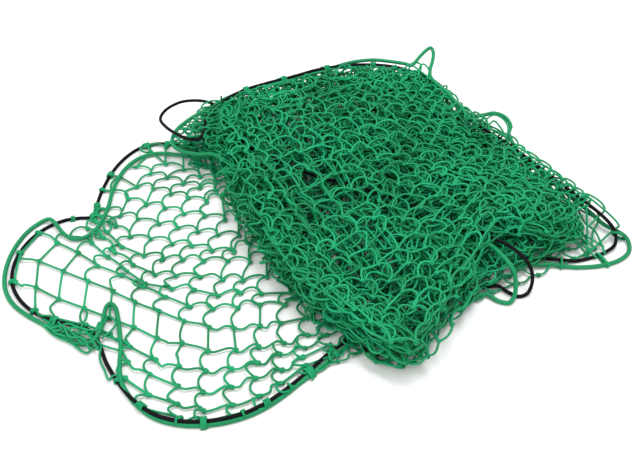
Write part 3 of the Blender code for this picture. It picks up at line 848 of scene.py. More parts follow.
def tone_group() -> bpy.types.NodeTree:
    """Build the group that gives a colour between two tones: uneven at random from strand to strand, with
    painted shade in the grooves between a cord's strands.

    Returns:
        The shader group uneven_tone.
    """
    tree, given, result = group_with(
        "uneven_tone", "ShaderNodeTree",
        [("Deep", "NodeSocketColor", None), ("Light", "NodeSocketColor", None),
         ("Tone", "NodeSocketFloat", 0.5), ("Height", "NodeSocketFloat", 0.5)],
        [("Color", "NodeSocketColor")],
    )
    place = tree.add("ShaderNodeTexCoord").outputs["Object"]
    patches, fibres = (
        tree.add("ShaderNodeTexNoise", {"Vector": place, "Scale": scale, "Detail": detail}).outputs[0]
        for scale, detail in ((PATCH_SCALE, PATCH_DETAIL), (FIBRE_SCALE, FIBRE_DETAIL))
    )
    mixed = given.outputs["Tone"]
    # the strands' height adds painted shade in their grooves and lighter crests
    for value, mean, share in (
        (patches, NOISE_MEAN, PATCH_TONE), (fibres, NOISE_MEAN, FIBRE_TONE),
        (given.outputs["Height"], HEIGHT_MEAN, GROOVE_SHADE),
    ):
        mixed = tree.maths("MULTIPLY_ADD", tree.maths("SUBTRACT", value, mean), share, mixed)
    mixed = tree.add("ShaderNodeClamp", {"Value": mixed}).outputs[0]
    tones = {0: mixed, 6: given.outputs["Deep"], 7: given.outputs["Light"]}
    tree.link(tree.add("ShaderNodeMix", tones, data_type="RGBA").outputs[2], result.inputs[0])
    return tree.tree


# ---------------------------------------------------------------- pieces


@dataclass(frozen=True)
class Section:
    """How finely twine is made: faces round it, its curve's steps, and the same for its knots."""

    sides: int
    smoothness: int
    knot_sides: int = 4
    knot_steps: int = 16


class Detail(Enum):
    """How finely a piece's twine is made."""

    FINE = Section(sides=5, smoothness=2)
    COARSE = Section(sides=4, smoothness=1, knot_sides=3, knot_steps=10)
    SPUN = Section(sides=5, smoothness=1)  # for lines whose points lie close
    WEBBED = Section(sides=4, smoothness=2)


@dataclass(frozen=True)
class Stock:
    """The materials and node trees that the pieces are made with."""

    paints: dict[Finish, bpy.types.Material]
    twine: bpy.types.NodeTree
    cord: bpy.types.NodeTree

    @classmethod
    def prepare(cls) -> "Stock":
        """Build the shader groups, the materials and the node trees.

        Returns:
            The stock.
        """
        groups = strand_group(), tone_group()
        finishes = GREEN_TWINE, GREEN_ROPE, BLACK_ELASTIC
        paints = {finish: finish.material(*groups) for finish in finishes}
        return cls(paints, twine_tree(), cord_tree())

    def spin(self, piece: bpy.types.Object, diameter: float, detail: Detail) -> None:
        """Turn a piece's lines and knots into twine.

        Args:
            piece: the piece, still a mesh of edges and loose points.
            diameter: of its twine, mm.
            detail: how finely it is made.
        """
        section = detail.value
        grown(piece, self.twine, {
            "Radius": diameter / 2 * MM, "Sides": section.sides, "Smoothness": section.smoothness,
            "Knot Sides": section.knot_sides, "Knot Steps": section.knot_steps,
            "Material": self.paints[GREEN_TWINE],
        })


@dataclass
class Strands:
    """Twine of one piece: polylines and knots, in mm of the tables' axes."""

    points: list[Points] = field(default_factory=list)
    tones: list[np.ndarray] = field(default_factory=list)
    lines: list[np.ndarray] = field(default_factory=list)
    knots: list[np.ndarray] = field(default_factory=list)
    turns: list[np.ndarray] = field(default_factory=list)
    sizes: list[np.ndarray] = field(default_factory=list)
    knot_tones: list[float] = field(default_factory=list)
    count: int = 0

    def add_line(self, points: Points, tone: float) -> None:
        """Add one polyline of twine.

        Args:
            points: its points.
            tone: from 0, deep, to 1, light.
        """
        self.points.append(points)
        self.tones.append(np.full(len(points), tone))
        self.lines.append(np.arange(len(points)) + self.count)
        self.count += len(points)

    def add_knot(self, point: np.ndarray, turn: np.ndarray, size: np.ndarray, tone: float) -> None:
        """Add one knot.

        Args:
            point: its middle.
            turn: three angles, radians.
            size: its scale along its three axes.
            tone: from 0, deep, to 1, light.
        """
        self.knots.append(point)
        self.turns.append(turn)
        self.sizes.append(size)
        self.knot_tones.append(tone)

    def mesh(self, name: str) -> bpy.types.Mesh:
        """The centrelines as edges, with the knots as loose points.

        Args:
            name: the mesh's name.

        Returns:
            A mesh with the attributes is_knot, tone, turn and size.
        """
        knots = np.array(self.knots).reshape(-1, 3)
        points = np.concatenate([*self.points, knots])
        edges = np.concatenate([np.stack((line[:-1], line[1:]), axis=1) for line in self.lines])
        made = bpy.data.meshes.new(name)
        made.vertices.add(len(points))
        made.vertices.foreach_set("co", ((points - MIDDLE) * MM).astype(np.float32).ravel())
        made.edges.add(len(edges))
        made.edges.foreach_set("vertices", edges.astype(np.int32).ravel())
        lines = len(points) - len(knots)
        turns, sizes = (np.array(rows).reshape(-1, 3) for rows in (self.turns, self.sizes))
        is_knot = made.attributes.new("is_knot", "BOOLEAN", "POINT")
        is_knot.data.foreach_set("value", np.arange(len(points)) >= lines)
        tones = np.r_[np.concatenate(self.tones), np.array(self.knot_tones)]
        tone = made.attributes.new("tone", "FLOAT", "POINT")
        tone.data.foreach_set("value", tones.astype(np.float32))
        for key, rows in (
            ("turn", np.concatenate((np.zeros((lines, 3)), turns))),
            ("size", np.concatenate((np.ones((lines, 3)), sizes))),
        ):
            attribute = made.attributes.new(key, "FLOAT_VECTOR", "POINT")
            attribute.data.foreach_set("vector", rows.astype(np.float32).ravel())
        made.update()
        return made


def linked(name: str, data: Any) -> bpy.types.Object:
    """A new object in the scene.

    Args:
        name: the object's name.
        data: its mesh, camera or light.

    Returns:
        The object.
    """
    obj = bpy.data.objects.new(name, data)
    bpy.context.scene.collection.objects.link(obj)
    return obj


def claim(obj: bpy.types.Object, finish: Finish, *nodes: str) -> None:
    """Fix a finished piece to the body and report it.

    Args:
        obj: the piece.
        finish: its finish; not used.
        nodes: the CAD nodes that it stands for.
    """
    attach(obj, BODY)
    if nodes:
        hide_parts(*nodes)
    LOG.info("%s: %d triangles", obj.name, sum(len(p.vertices) - 2 for p in obj.data.polygons))


# ---------------------------------------------------------------- the netting


class Region(Enum):
    """The stretches of the net's line, in order from the flap's left edge."""

    FLAP = "flap"
    UNDER = "under"
    PILE = "pile"


@dataclass(frozen=True)
class Column:
    """One column of knots: where it is on the net's line and which piece it belongs to."""

    region: Region
    layer: int
    piece: str


@dataclass(frozen=True)
class Pile:
    """How the folded layers lie: sizes in mm, and shares of the way across and ahead."""

    top: float = 76.5  # middle of the top layer
    top_gap: float = 3.0  # more under the top layer
    top_calm: float = 0.65  # share of the random shifts that the top layer has
    inner_right: float = 0.97  # how far across the layers under the top one reach
    edge_zone: float = 0.24  # share next to its back and right edges where layers crowd upwards
    back_crowding: float = 1.2  # over 1, the rows of those layers are closer at the back
    edge_lift: float = 0.55  # share of the way to the top that they rise there
    edge_spread: float = 20.0  # by which the lowest one stands out under the edge
    right_spread: float = 0.7  # share of that at the right edge
    thinned: float = 0.62  # share of its height that a layer of twine loses at the low corner
    wave: float = 10.0  # smooth shifts of a layer's knots
    swell: float = 3.0  # and of their heights
    jitter: Spot = (4.0, 4.0, 2.0)  # from knot to knot
    front_from: float = 0.8  # ahead, where the layers begin to stand back from the front edge
    front_draw: Pair = (-9.0, 15.0)  # by how much, in plan
    left_draw: Pair = (17.0, 16.0)  # more at the left end of that edge
    left_fade: int = 4  # power with which that fades to the right
    corner_from: Pair = (0.78, 0.70)  # where the pile begins to draw in from its low corner
    corner_draw: Pair = (-46.0, -6.0)  # and by how much, in plan
    bay_layer: int = 7  # from this layer up the front edge stands back where the cords come out
    bay_middle: float = 0.64  # that bay's middle across
    bay_half: float = 0.22  # half its width
    bay_from: float = 0.45  # ahead, where it begins
    bay_depth: float = 58.0  # by how much the edge stands back


@dataclass(frozen=True)
class Bow:
    """How the bars of twine leave their knots, and how much they differ; turns in radians."""

    leaning: dict[Region, float] = field(
        default_factory=lambda: {Region.FLAP: 0.14, Region.UNDER: 0.25, Region.PILE: 0.42}
    )
    top_leaning: float = 0.30  # the same turn of a knot in the top layer
    uneven: float = 0.04  # share by which bars differ in length
    front_slack: float = 1.08  # twine of the bars along the pile's front edge, over their chord
    most_slack: float = 0.6  # the largest share by which a bar counts as shorter than its twine
    fold_turn: float = 0.7  # how far a bar that joins two layers may swing
    fold_length: Pair = (0.5, 1.0)  # and how long it is, over a plain one
    flipped: float = 0.14  # share of the pile's bars that bow the other way
    rim_way: float = -0.4  # the bars along the back rim bow inwards
    ways: Pair = (0.75, 1.1)  # how strongly a bar bows, over its slack
    hooked_from: int = 11  # from this row the flap's bars leave their knots forwards
    swung_from: int = 8  # and from this column they swing in an S
    hook_out: float = -0.9  # turn of such a bar where it leaves, over its bow
    hook_home: float = -0.3  # and where it arrives
    swing_home: float = 0.8  # and there if it swings
    row_home: float = 1.15  # and there for a plain bar along a row
    lifts: Spot = (0.25, 0.5, 0.10)  # random rise of bars of the top layer, the pile and the flap
    rise: float = 0.1  # rise that all bars have


@dataclass(frozen=True)
class Look:
    """Tones of the twine, with painted light and shade on the pile's layers and a painted highlight on its
    knots, and sizes of its knots.
    """

    lit_top: float = 0.48  # the top layer, lighter than the rest as painted light
    plain: float = 0.46  # the flap
    shaded_between: float = 0.40  # the layers between, darker as painted shade
    bar_tone: float = 0.12  # how much bars differ
    knot_highlight: float = 0.05  # painted highlight: how much lighter the knots are than the bars
    knot_tone: float = 0.1  # how much knots differ
    flat_tilt: float = 0.2  # radians, tilt of a knot on the floor
    pile_tilt: float = 0.7  # and in the pile
    spin: float = 6.28  # radians, how far a knot may be turned
    knot_size: Pair = (0.95, 1.15)  # from the least to the most
    knot_shape: Spot = (1.0, 1.0, 0.9)


@dataclass
class Waves:
    """Smooth random shifts of a layer's knots.

    Args:
        random: the generator to draw from.
        size: mm, how far a knot is shifted at most on each plan axis.
        count: how many crossed waves are added up.
        fastest: radians, how far a wave turns at most across the pile.
    """

    random: np.random.Generator
    size: float
    count: int = 5
    fastest: float = 11.0
    turns: np.ndarray = field(init=False)
    phases: np.ndarray = field(init=False)

    def __post_init__(self) -> None:
        """Draw the waves."""
        self.turns = self.random.uniform(-self.fastest, self.fastest, (self.count, 2, 3))
        self.phases = self.random.uniform(0, FULL_TURN, (self.count, 3))

    def at(self, across: np.ndarray, ahead: np.ndarray) -> np.ndarray:
        """The shift at places of the pile.

        Args:
            across: m shares of its width.
            ahead: m shares of its depth.

        Returns:
            An array (m, 3): x and y in mm, and a height about 1 at most.
        """
        shift = np.zeros((len(across), 3))
        for turn, phase in zip(self.turns, self.phases):
            shift += np.sin(np.outer(across, turn[0]) + np.outer(ahead, turn[1]) + phase)
        shift /= math.sqrt(self.count)
        shift[:, :2] *= self.size
        return shift


@dataclass
class Net:
    """The whole net: its knots, its bars of twine and the pieces made of them.

    Args:
        random: the generator to draw from.
        rim: points of the elastic round the top of the pile.
        pile: how the folded layers lie.
        bow: how the bars run.
        look: tones and knots.
    """

    random: np.random.Generator
    rim: Points
    pile: Pile = field(default_factory=Pile)
    bow: Bow = field(default_factory=Bow)
    look: Look = field(default_factory=Look)
    columns: list[Column] = field(default_factory=list)
    knots: Points = field(init=False)
    present: np.ndarray = field(init=False)
    leaning: np.ndarray = field(init=False)
    ends: np.ndarray = field(init=False)
    bar_piece: np.ndarray = field(init=False)
    bar_row: np.ndarray = field(init=False)
    is_row: np.ndarray = field(init=False)
    fold: np.ndarray = field(init=False)
    bars: np.ndarray = field(init=False)

    def lay_out(self) -> None:
        """Place every knot: the flap, the sheet under the pile, then the folded layers."""
        self.columns = [Column(Region.FLAP, 0, "netting_flap")] * FLAP_COLUMNS
        self.columns += [Column(Region.UNDER, 0, "netting_under")] * UNDER_COLUMNS
        sheets, present = self.floor_sheet()
        for layer in range(1, PILE_LAYERS + 1):
            self.columns += [Column(Region.PILE, layer, f"netting_layer_{layer}")] * columns_in(layer)
            sheets = np.concatenate((sheets, self.layer(layer)), axis=1)
        hidden = np.ones((ROWS + 1, len(self.columns) - present.shape[1]), bool)
        self.present = np.concatenate((present, hidden), axis=1).ravel()
        self.knots = sheets.reshape(-1, 3)
        spread = np.array([
            self.bow.top_leaning if column.layer == PILE_LAYERS else self.bow.leaning[column.region]
            for column in self.columns
        ])
        lean = self.random.normal(0, 1, (ROWS + 1, len(self.columns))) * spread
        self.leaning = lean.ravel()

    def floor_sheet(self) -> tuple[np.ndarray, np.ndarray]:
        """Lay the single layer on the floor.

        Returns:
            Its knots, (rows, columns, 3), and which of those places hold a knot.
        """
        wide = FLAP_COLUMNS + UNDER_COLUMNS
        sheet = np.full((ROWS + 1, wide, 3), KNOT_LIFT)
        present = np.ones((ROWS + 1, wide), bool)
        for row, (first, pixels) in enumerate(FLAP_KNOTS):
            seen = on_plane(pixels, KNOT_LIFT)[:, :2]
            last = first + len(seen) - 1
            end = pile_plan([self.pile.inner_right], [row / ROWS])[0]
            share = np.arange(1, wide - last)[:, None] / (wide - 1 - last)
            jitter = self.random.normal(0, 1, (wide, 3)) * UNDER_JITTER
            sheet[row, first:last + 1, :2] = seen
            sheet[row, last + 1:, :2] = seen[-1] + share * (end - seen[-1]) + jitter[last + 1:, :2]
            present[row, :first] = False
        return sheet, present

    def layer(self, number: int) -> np.ndarray:
        """Lay one folded layer.

        Args:
            number: its place in the pile, from 1.

        Returns:
            Its knots, (rows, columns, 3).
        """
        pile, top = self.pile, number == PILE_LAYERS
        across = np.linspace(0, 1.0 if top else pile.inner_right, columns_in(number))
        if number % 2:
            across = across[::-1]
        ahead = np.linspace(0, 1, ROWS + 1) ** (1.0 if top else pile.back_crowding)
        a, h = (grid.ravel() for grid in np.meshgrid(across, ahead))
        share = number / PILE_LAYERS
        thickness = (pile.top - KNOT_LIFT) * (1 - pile.thinned * sinking(a, h))
        back, right = (np.clip(1 - edge / pile.edge_zone, 0, 1) for edge in (h, 1 - a))
        height = KNOT_LIFT + thickness * (share + (1 - share) * pile.edge_lift * np.maximum(back, right))
        calm = pile.top_calm if top else 1.0
        shift = Waves(self.random, pile.wave * calm).at(a, h)
        spread = pile.edge_spread * (1 - share)
        shift[:, 0] += spread * right * pile.right_spread
        shift[:, 1] += spread * np.maximum(back, right * pile.right_spread)
        self.draw_in(shift, a, h, number)
        knots = np.column_stack((pile_plan(a, h) + shift[:, :2], height + shift[:, 2] * pile.swell))
        knots += self.random.normal(0, 1, knots.shape) * np.array(pile.jitter) * calm
        knots[:, 2] = np.maximum(knots[:, 2] + (pile.top_gap if top else 0.0), KNOT_LIFT)
        knots = knots.reshape(ROWS + 1, -1, 3)
        if top:
            self.reach_rim(knots)
        return knots

    def draw_in(self, shift: np.ndarray, across: np.ndarray, ahead: np.ndarray, number: int) -> None:
        """Draw a layer in from its front edge, its low corner and the bay where the cords come out.

        Args:
            shift: the knots' shifts so far, which this changes.
            across: shares of the pile's width.
            ahead: shares of its depth.
            number: the layer.
        """
        pile = self.pile
        left = (1 - across[:, None]) ** pile.left_fade
        drawn = np.array(pile.front_draw) + left * np.array(pile.left_draw)
        shift[:, :2] += smooth_step((ahead - pile.front_from) / (1 - pile.front_from))[:, None] * drawn
        corner = smooth_step((across - pile.corner_from[0]) / (1 - pile.corner_from[0]))
        corner *= smooth_step((ahead - pile.corner_from[1]) / (1 - pile.corner_from[1]))
        shift[:, :2] += corner[:, None] * np.array(pile.corner_draw)
        if number >= pile.bay_layer:
            bay = smooth_step(1 - np.abs(across - pile.bay_middle) / pile.bay_half)
            bay = bay * smooth_step((ahead - pile.bay_from) / (1 - pile.bay_from))
            shift[:, 1] += bay * pile.bay_depth

    def reach_rim(self, knots: np.ndarray) -> None:
        """Draw the top layer's back row and its end column out to the elastic.

        Args:
            knots: the layer's knots, (rows, columns, 3), which this moves.
        """
        for column in range(TOP_COLUMNS):
            pull = self.beside_rim(knots[0, column]) - knots[0, column]
            for row, share in enumerate(RIM_PULL):
                knots[row, column] += pull * share
        for row in range(1, ROWS + 1):
            pull = self.beside_rim(knots[row, -1]) - knots[row, -1]
            open_corner = row / ROWS > self.pile.corner_from[1]
            for step, share in enumerate(RIM_PULL[:1] if open_corner else RIM_PULL):
                knots[row, -1 - step] += pull * share

    def beside_rim(self, knot: np.ndarray) -> np.ndarray:
        """The place just inside the rim that is nearest to a knot.

        Args:
            knot: the knot.

        Returns:
            Three coordinates, mm.
        """
        near = self.rim[np.linalg.norm(self.rim[:, :2] - knot[:2], axis=1).argmin()]
        inward = unit(np.append(PILE_MIDDLE - near[:2], 0.0))
        place = near + inward * RIM_GAP
        place[2] = max(place[2], KNOT_LIFT)
        return place

    def number(self, row: int, column: int) -> int:
        """A knot's number."""
        return row * len(self.columns) + column

    def tie(self) -> None:
        """Join neighbouring knots with bars of twine."""
        wide = len(self.columns)
        grid = np.arange(len(self.knots)).reshape(ROWS + 1, wide)
        layers = np.array([column.layer for column in self.columns])
        row_column = np.tile(np.arange(1, wide), ROWS + 1)
        row_row = np.repeat(np.arange(ROWS + 1), wide - 1)
        along = np.stack((grid[:, :-1].ravel(), grid[:, 1:].ravel()), axis=1)
        ahead = np.stack((grid[:-1].ravel(), grid[1:].ravel()), axis=1)
        fold = np.r_[layers[row_column] != layers[row_column - 1], np.zeros(len(ahead), bool)]
        is_row = np.r_[np.ones(len(along), bool), np.zeros(len(ahead), bool)]
        ends = np.concatenate((along, ahead))
        bar_piece = np.r_[row_column, np.tile(np.arange(wide), ROWS)]
        bar_row = np.r_[row_row, np.repeat(np.arange(ROWS), wide)]
        kept = self.present[ends[:, 0]] & self.present[ends[:, 1]]
        self.ends, self.bar_piece, self.bar_row = ends[kept], bar_piece[kept], bar_row[kept]
        self.fold, self.is_row = fold[kept], is_row[kept]
        self.bend()

    def bend(self) -> None:
        """Bow every bar out between its two knots."""
        first, last = self.ends[:, 0], self.ends[:, 1]
        start, end = self.knots[first], self.knots[last]
        straight, fold = end - start, self.fold[:, None]
        leave = np.where(fold, start - self.knots[np.maximum(first - 1, 0)], straight)
        after = self.knots[np.minimum(last + 1, len(self.knots) - 1)]
        arrive = np.where(fold, after - end, straight)
        in_pile = np.array([self.columns[p].region is Region.PILE for p in self.bar_piece])
        top = np.array([self.columns[p].layer == PILE_LAYERS for p in self.bar_piece])
        length, slack = self.slackness(np.linalg.norm(straight, axis=1), in_pile)
        out, home = self.swings(slack, in_pile, top)
        leave = turned(unit(leave), out + self.leaning[first])
        arrive = turned(unit(arrive), home + self.leaning[last])
        top_lift, pile_lift, flap_lift = self.bow.lifts
        uneven = np.where(in_pile, np.where(top, top_lift, pile_lift), flap_lift)
        lift = self.random.normal(0, 1, (2, len(start))) * uneven * slack
        leave[:, 2] += lift[0] + self.bow.rise * slack
        arrive[:, 2] += lift[1] - self.bow.rise * slack
        self.bars = bent_bars(start, end, unit(leave), unit(arrive), length)
        self.bars[:, :, 2] = np.maximum(self.bars[:, :, 2], FLAP_TWINE / 2)

    def slackness(self, chord: np.ndarray, in_pile: np.ndarray) -> tuple[np.ndarray, np.ndarray]:
        """The twine in every bar and how far it bows.

        Args:
            chord: mm between the knots of each bar.
            in_pile: which bars are in the pile.

        Returns:
            The length of each bar, mm, and the turn at its ends, radians.
        """
        bow, count = self.bow, len(chord)
        length = np.where(in_pile, CURLY_BAR, MESH_BAR)
        length = length * (1 + bow.uneven * self.random.normal(0, 1, count))
        front = self.is_row & (self.bar_row == ROWS) & (self.bar_piece >= FLAP_COLUMNS)
        length = np.where(front, np.minimum(length, chord * bow.front_slack), length)
        slack = bow_turn(chord, length, bow.most_slack)
        slack = np.where(self.fold, self.random.normal(0, bow.fold_turn, count), slack)
        length = np.where(self.fold, length * self.random.uniform(*bow.fold_length, count), length)
        return length, slack

    def swings(
        self, slack: np.ndarray, in_pile: np.ndarray, top: np.ndarray
    ) -> tuple[np.ndarray, np.ndarray]:
        """How far every bar turns away from its chord at its two ends.

        Args:
            slack: the turn of each bar if it bowed evenly.
            in_pile: which bars are in the pile.
            top: which bars are in its top layer.

        Returns:
            The turns at the first and at the other ends, radians.
        """
        bow, count = self.bow, len(slack)
        piled = np.where((self.random.random(count) < bow.flipped) & ~top, -1.0, 1.0)
        way = np.where(self.is_row | in_pile, 1.0, -1.0) * np.where(in_pile, piled, 1.0)
        way = np.where(self.is_row & top & (self.bar_row == 0), bow.rim_way, way)
        way *= self.random.uniform(*bow.ways, count)
        hooked = self.is_row & ~in_pile & (self.bar_row >= bow.hooked_from)
        swung = hooked & (self.bar_piece >= bow.swung_from)
        plain_home = np.where(self.is_row, bow.row_home, 1.0)
        home_share = np.where(swung, bow.swing_home, np.where(hooked, bow.hook_home, plain_home))
        return slack * way * np.where(hooked, bow.hook_out, 1.0), -slack * way * home_share

    def build(self, stock: Stock) -> None:
        """Make the pieces: the flap, the sheet under the pile and each layer.

        Args:
            stock: what they are made with.
        """
        tone_of_knot = self.random.normal(0, 1, len(self.knots))
        tone_of_bar = self.random.normal(0, 1, len(self.bars))
        for name in dict.fromkeys(column.piece for column in self.columns):
            members = [i for i, column in enumerate(self.columns) if column.piece == name]
            strands = self.strands_of(members, tone_of_knot, tone_of_bar)
            region, layer = self.columns[members[0]].region, self.columns[members[0]].layer
            fine = region is Region.FLAP or layer > PILE_LAYERS - TOP_LAYERS
            thick = FLAP_TWINE if region is Region.FLAP else TOP_TWINE if fine else TWINE * MATTED
            piece = linked(name, strands.mesh(name))
            stock.spin(piece, thick, Detail.FINE if fine else Detail.COARSE)
            claim(piece, GREEN_TWINE, "netting")

    def strands_of(
        self, members: Sequence[int], tone_of_knot: np.ndarray, tone_of_bar: np.ndarray
    ) -> Strands:
        """The bars and knots of one piece.

        Args:
            members: its columns.
            tone_of_knot: how each knot of the net differs in tone.
            tone_of_bar: how each bar does.

        Returns:
            The piece's twine.
        """
        look, strands, layer = self.look, Strands(), self.columns[members[0]].layer
        tilt = look.flat_tilt if layer == 0 else look.pile_tilt
        # painted light and shade: the top layer gets a lighter tone, the layers between a darker one
        tone = look.lit_top if layer == PILE_LAYERS else look.plain if layer == 0 else look.shaded_between
        for bar in np.flatnonzero(np.isin(self.bar_piece, members)):
            strands.add_line(self.bars[bar], float(np.clip(tone + look.bar_tone * tone_of_bar[bar], 0, 1)))
        for row in range(ROWS + 1):
            for number in (self.number(row, column) for column in members):
                if self.present[number]:
                    turn = self.random.uniform(-tilt, tilt, 3)
                    turn = turn + np.array((0, 0, self.random.uniform(0, look.spin)))
                    size = self.random.uniform(*look.knot_size) * np.array(look.knot_shape)
                    # the knots are made lighter than the bars: painted highlight
                    shade = tone + look.knot_highlight + look.knot_tone * tone_of_knot[number]
                    strands.add_knot(self.knots[number], turn, size, float(np.clip(shade, 0, 1)))
        return strands


def columns_in(layer: int) -> int:
    """How many columns of knots a folded layer has."""
    return TOP_COLUMNS if layer == PILE_LAYERS else PILE_COLUMNS


# ---------------------------------------------------------------- cords


def cad_layer(number: int, across: float, ahead: float) -> np.ndarray:
    """A place on one of the part's own folded layers.

    Args:
        number: the layer, where 0 is the sheet on the floor.
        across: share of the pile's width, from the left.
        ahead: share of its depth, from the back.

    Returns:
        Three coordinates, mm.
    """
    across, ahead = np.array([across], float), np.array([ahead], float)
    plan = pile_plan(across, ahead)[0]
    height = TWINE / 2 + CAD_PITCH * number * (1 - LOW_SIDE * sinking(across, ahead)[0])
    return np.array((*plan, height if number else TWINE / 2))


def hidden_run(gap: int, spots: Sequence[Pair]) -> list[Spot]:
    """Points where a cord runs between two of those layers.

    Args:
        gap: the lower layer.
        spots: shares across and ahead.

    Returns:
        The points, mm.
    """
    return [tuple((cad_layer(gap, *spot) + cad_layer(gap + 1, *spot)) / 2) for spot in spots]


def spun(points: Any, step: float = 2.5) -> Points:
    """A smooth line through points.

    Args:
        points: the points, mm.
        step: mm between the line's own points.

    Returns:
        The line's points.
    """
    points = np.asarray(points, float)
    ways = np.maximum(np.linalg.norm(np.diff(points, axis=0), axis=1), LEAST_WAY)
    keys = np.r_[0, np.cumsum(ways)]
    line = through(keys, points, np.linspace(0, keys[-1], max(FEWEST_POINTS, int(keys[-1] / step))))
    line[:, 2] = np.maximum(line[:, 2], TWINE / 2)
    return line


@dataclass
class Cord:
    """A cord of the border, closed on itself.

    Args:
        name: the CAD node it stands for.
        finish: its finish.
        diameter: mm.
        route: points that it passes through, mm.
        sides: of its round section.
        step: mm between two points of its path.
        probe: mm to both sides over which its direction is taken.
    """

    name: str
    finish: Finish
    diameter: float
    route: Sequence[Spot]
    sides: int = 10
    step: float = 5.0
    probe: float = 3.0
    path: Points = field(init=False)
    length: float = field(init=False)

    def __post_init__(self) -> None:
        """Run a smooth closed path through the route."""
        route = np.array(self.route, float)
        steps = np.linalg.norm(np.roll(route, -1, axis=0) - route, axis=1)
        keys = np.r_[0, np.cumsum(steps)]
        total = keys[-1]
        spaced = np.r_[keys[-3] - total, keys[-2] - total, keys, total + keys[1], total + keys[2]]
        around = route[np.arange(-2, len(route) + 3) % len(route)]
        self.path = through(spaced, around, np.arange(0, total, self.step))
        self.path[:, 2] = np.maximum(self.path[:, 2], self.diameter / 2)
        self.length = total

    def at(self, stations: Any) -> Points:
        """Places of the cord at stations, mm along it."""
        keys = np.arange(len(self.path)) * self.step
        axes = [np.interp(stations, keys, self.path[:, axis], period=self.length) for axis in range(3)]
        return np.stack(axes, axis=-1)

    def heading(self, stations: Any) -> np.ndarray:
        """Unit directions of the cord at stations, mm along it."""
        return unit(self.at(stations + self.probe) - self.at(stations - self.probe))

    def nearest(self, point: np.ndarray, weight: float = 1.0) -> Pair:
        """The place of the path that is nearest to a point.

        Args:
            point: three coordinates, mm.
            weight: how much a difference in height counts.

        Returns:
            Its station, and its distance in mm.
        """
        away = np.linalg.norm((self.path - point) * (1.0, 1.0, weight), axis=1)
        return float(away.argmin() * self.step), float(away.min())

    def between(self, first: Spot, last: Spot) -> Points:
        """The path's points between the ones nearest to two points."""
        stations = (self.nearest(np.array(spot, float))[0] for spot in (first, last))
        start, end = (int(round(station / self.step)) for station in stations)
        return self.path[start:end + 1]

    def winding(
        self, station: float, turns: float, towards: np.ndarray, partner: "Cord | None" = None
    ) -> Points:
        """Twine wound round the cord, or round it and another that lies beside it.

        Args:
            station: mm along it, middle of the winding.
            turns: how many times it goes round.
            towards: point on whose side it starts.
            partner: a second cord to take in.

        Returns:
            The twine's points.
        """
        steps = np.arange(int(turns * WIND_STEPS) + 1) / WIND_STEPS
        along = station + (steps - turns / 2) * TWINE * WIND_SPACING
        centre, tangent = self.at(along), self.heading(along)
        radius = (self.diameter + TWINE) / 2
        wide = np.full(len(steps), radius)
        aside = np.asarray(towards, float) - centre
        if partner:
            other = partner.at(partner.nearest(self.at(station))[0])
            aside = other - centre
            radius = (partner.diameter + TWINE) / 2
            wide = np.linalg.norm(aside, axis=1) / 2 + radius
            centre = (centre + other) / 2
        aside -= (aside * tangent).sum(axis=1, keepdims=True) * tangent
        aside = unit(aside)
        up = np.cross(aside, tangent)
        up *= np.where(up[:, 2:] < 0, -1.0, 1.0)
        angle = FULL_TURN * steps[:, None]
        return centre + np.cos(angle) * wide[:, None] * aside + np.sin(angle) * radius * up

    def threaded(self, first: np.ndarray, last: np.ndarray, reach: float) -> Points:
        """Twine from one knot over the cord, round its far side and back to the next knot.

        Args:
            first: the one knot.
            last: the next.
            reach: mm, how far the twine stands out beyond the cord's middle.

        Returns:
            The twine's points.
        """
        station = self.nearest((first + last) / 2, LEVEL_WEIGHT)[0]
        if np.dot(self.at(station + self.step) - self.at(station - self.step), last - first) < 0:
            first, last = last, first
        centre, tangent = self.at(station), self.heading(station)
        out = unit((centre - (first + last) / 2) * (1, 1, LOOP_LEVEL))
        out = unit(out - np.dot(out, tangent) * tangent)
        over = (self.diameter + TWINE) / 2
        half = tangent * LOOP_HALF * np.linalg.norm(last - first)
        shape = (  # shares of its half width and of its reach, and the height over the cord's middle
            (-1.0, 0.0, over), (-1.0, LOOP_ROUND, over), (-0.5, LOOP_TIP, LOOP_LIFT),
            (0.5, 1.0, LOOP_LIFT), (1.0, LOOP_ROUND, LOOP_LIFT / 2), (LOOP_HOME, 0.0, -over),
        )
        loop = [centre + along * half + out * reach * share + (0, 0, up) for along, share, up in shape]
        return spun([first, *loop, last])

    def build(self, stock: Stock) -> None:
        """Make the cord's piece.

        Args:
            stock: what it is made with.
        """
        strands = Strands()
        strands.add_line(np.concatenate((self.path, self.path[:1])), EVEN_TONE)
        piece = linked(self.name + "_look", strands.mesh(self.name))
        paint = stock.paints[self.finish]
        grown(piece, stock.cord, {"Radius": self.diameter / 2 * MM, "Sides": self.sides, "Material": paint})
        claim(piece, self.finish, self.name)
        LOG.info("%s: %.2f m long", self.name, self.length * MM)


def eased(values: np.ndarray) -> np.ndarray:
    """Values along a cord's path, evened out over a few of its points."""
    return np.convolve(values, np.ones(RIDE_EASE) / RIDE_EASE, mode="same")


def nestle(elastic: Cord, border: Cord) -> None:
    """Let the elastic ride up on the rope where both follow the front edge of the flap.

    Args:
        elastic: the elastic, whose path this changes.
        border: the rope, whose path it changes too.
    """
    low = (border.path[:, 1] < NESTLED_FRONT) & (border.path[:, 0] < NESTLED_RIGHT)
    share = np.where(low, smooth_step((RIDE_FROM - border.path[:, 2]) / RIDE_FADE), 0.0)
    share = smooth_step(eased(share))
    away = np.linalg.norm(border.path[:, None, :2] - elastic.path[None, :, :2], axis=2)
    partner = away.argmin(axis=1)
    share = np.where(away.min(axis=1) < RIDE_NEAR, share, 0.0)
    rise = np.zeros(len(elastic.path))
    np.maximum.at(rise, partner, share)
    border.path[:, :2] += RIDE_SHARE * share[:, None] * (elastic.path[partner, :2] - border.path[:, :2])
    elastic.path[:, 2] += RIDE_LIFT * eased(rise)


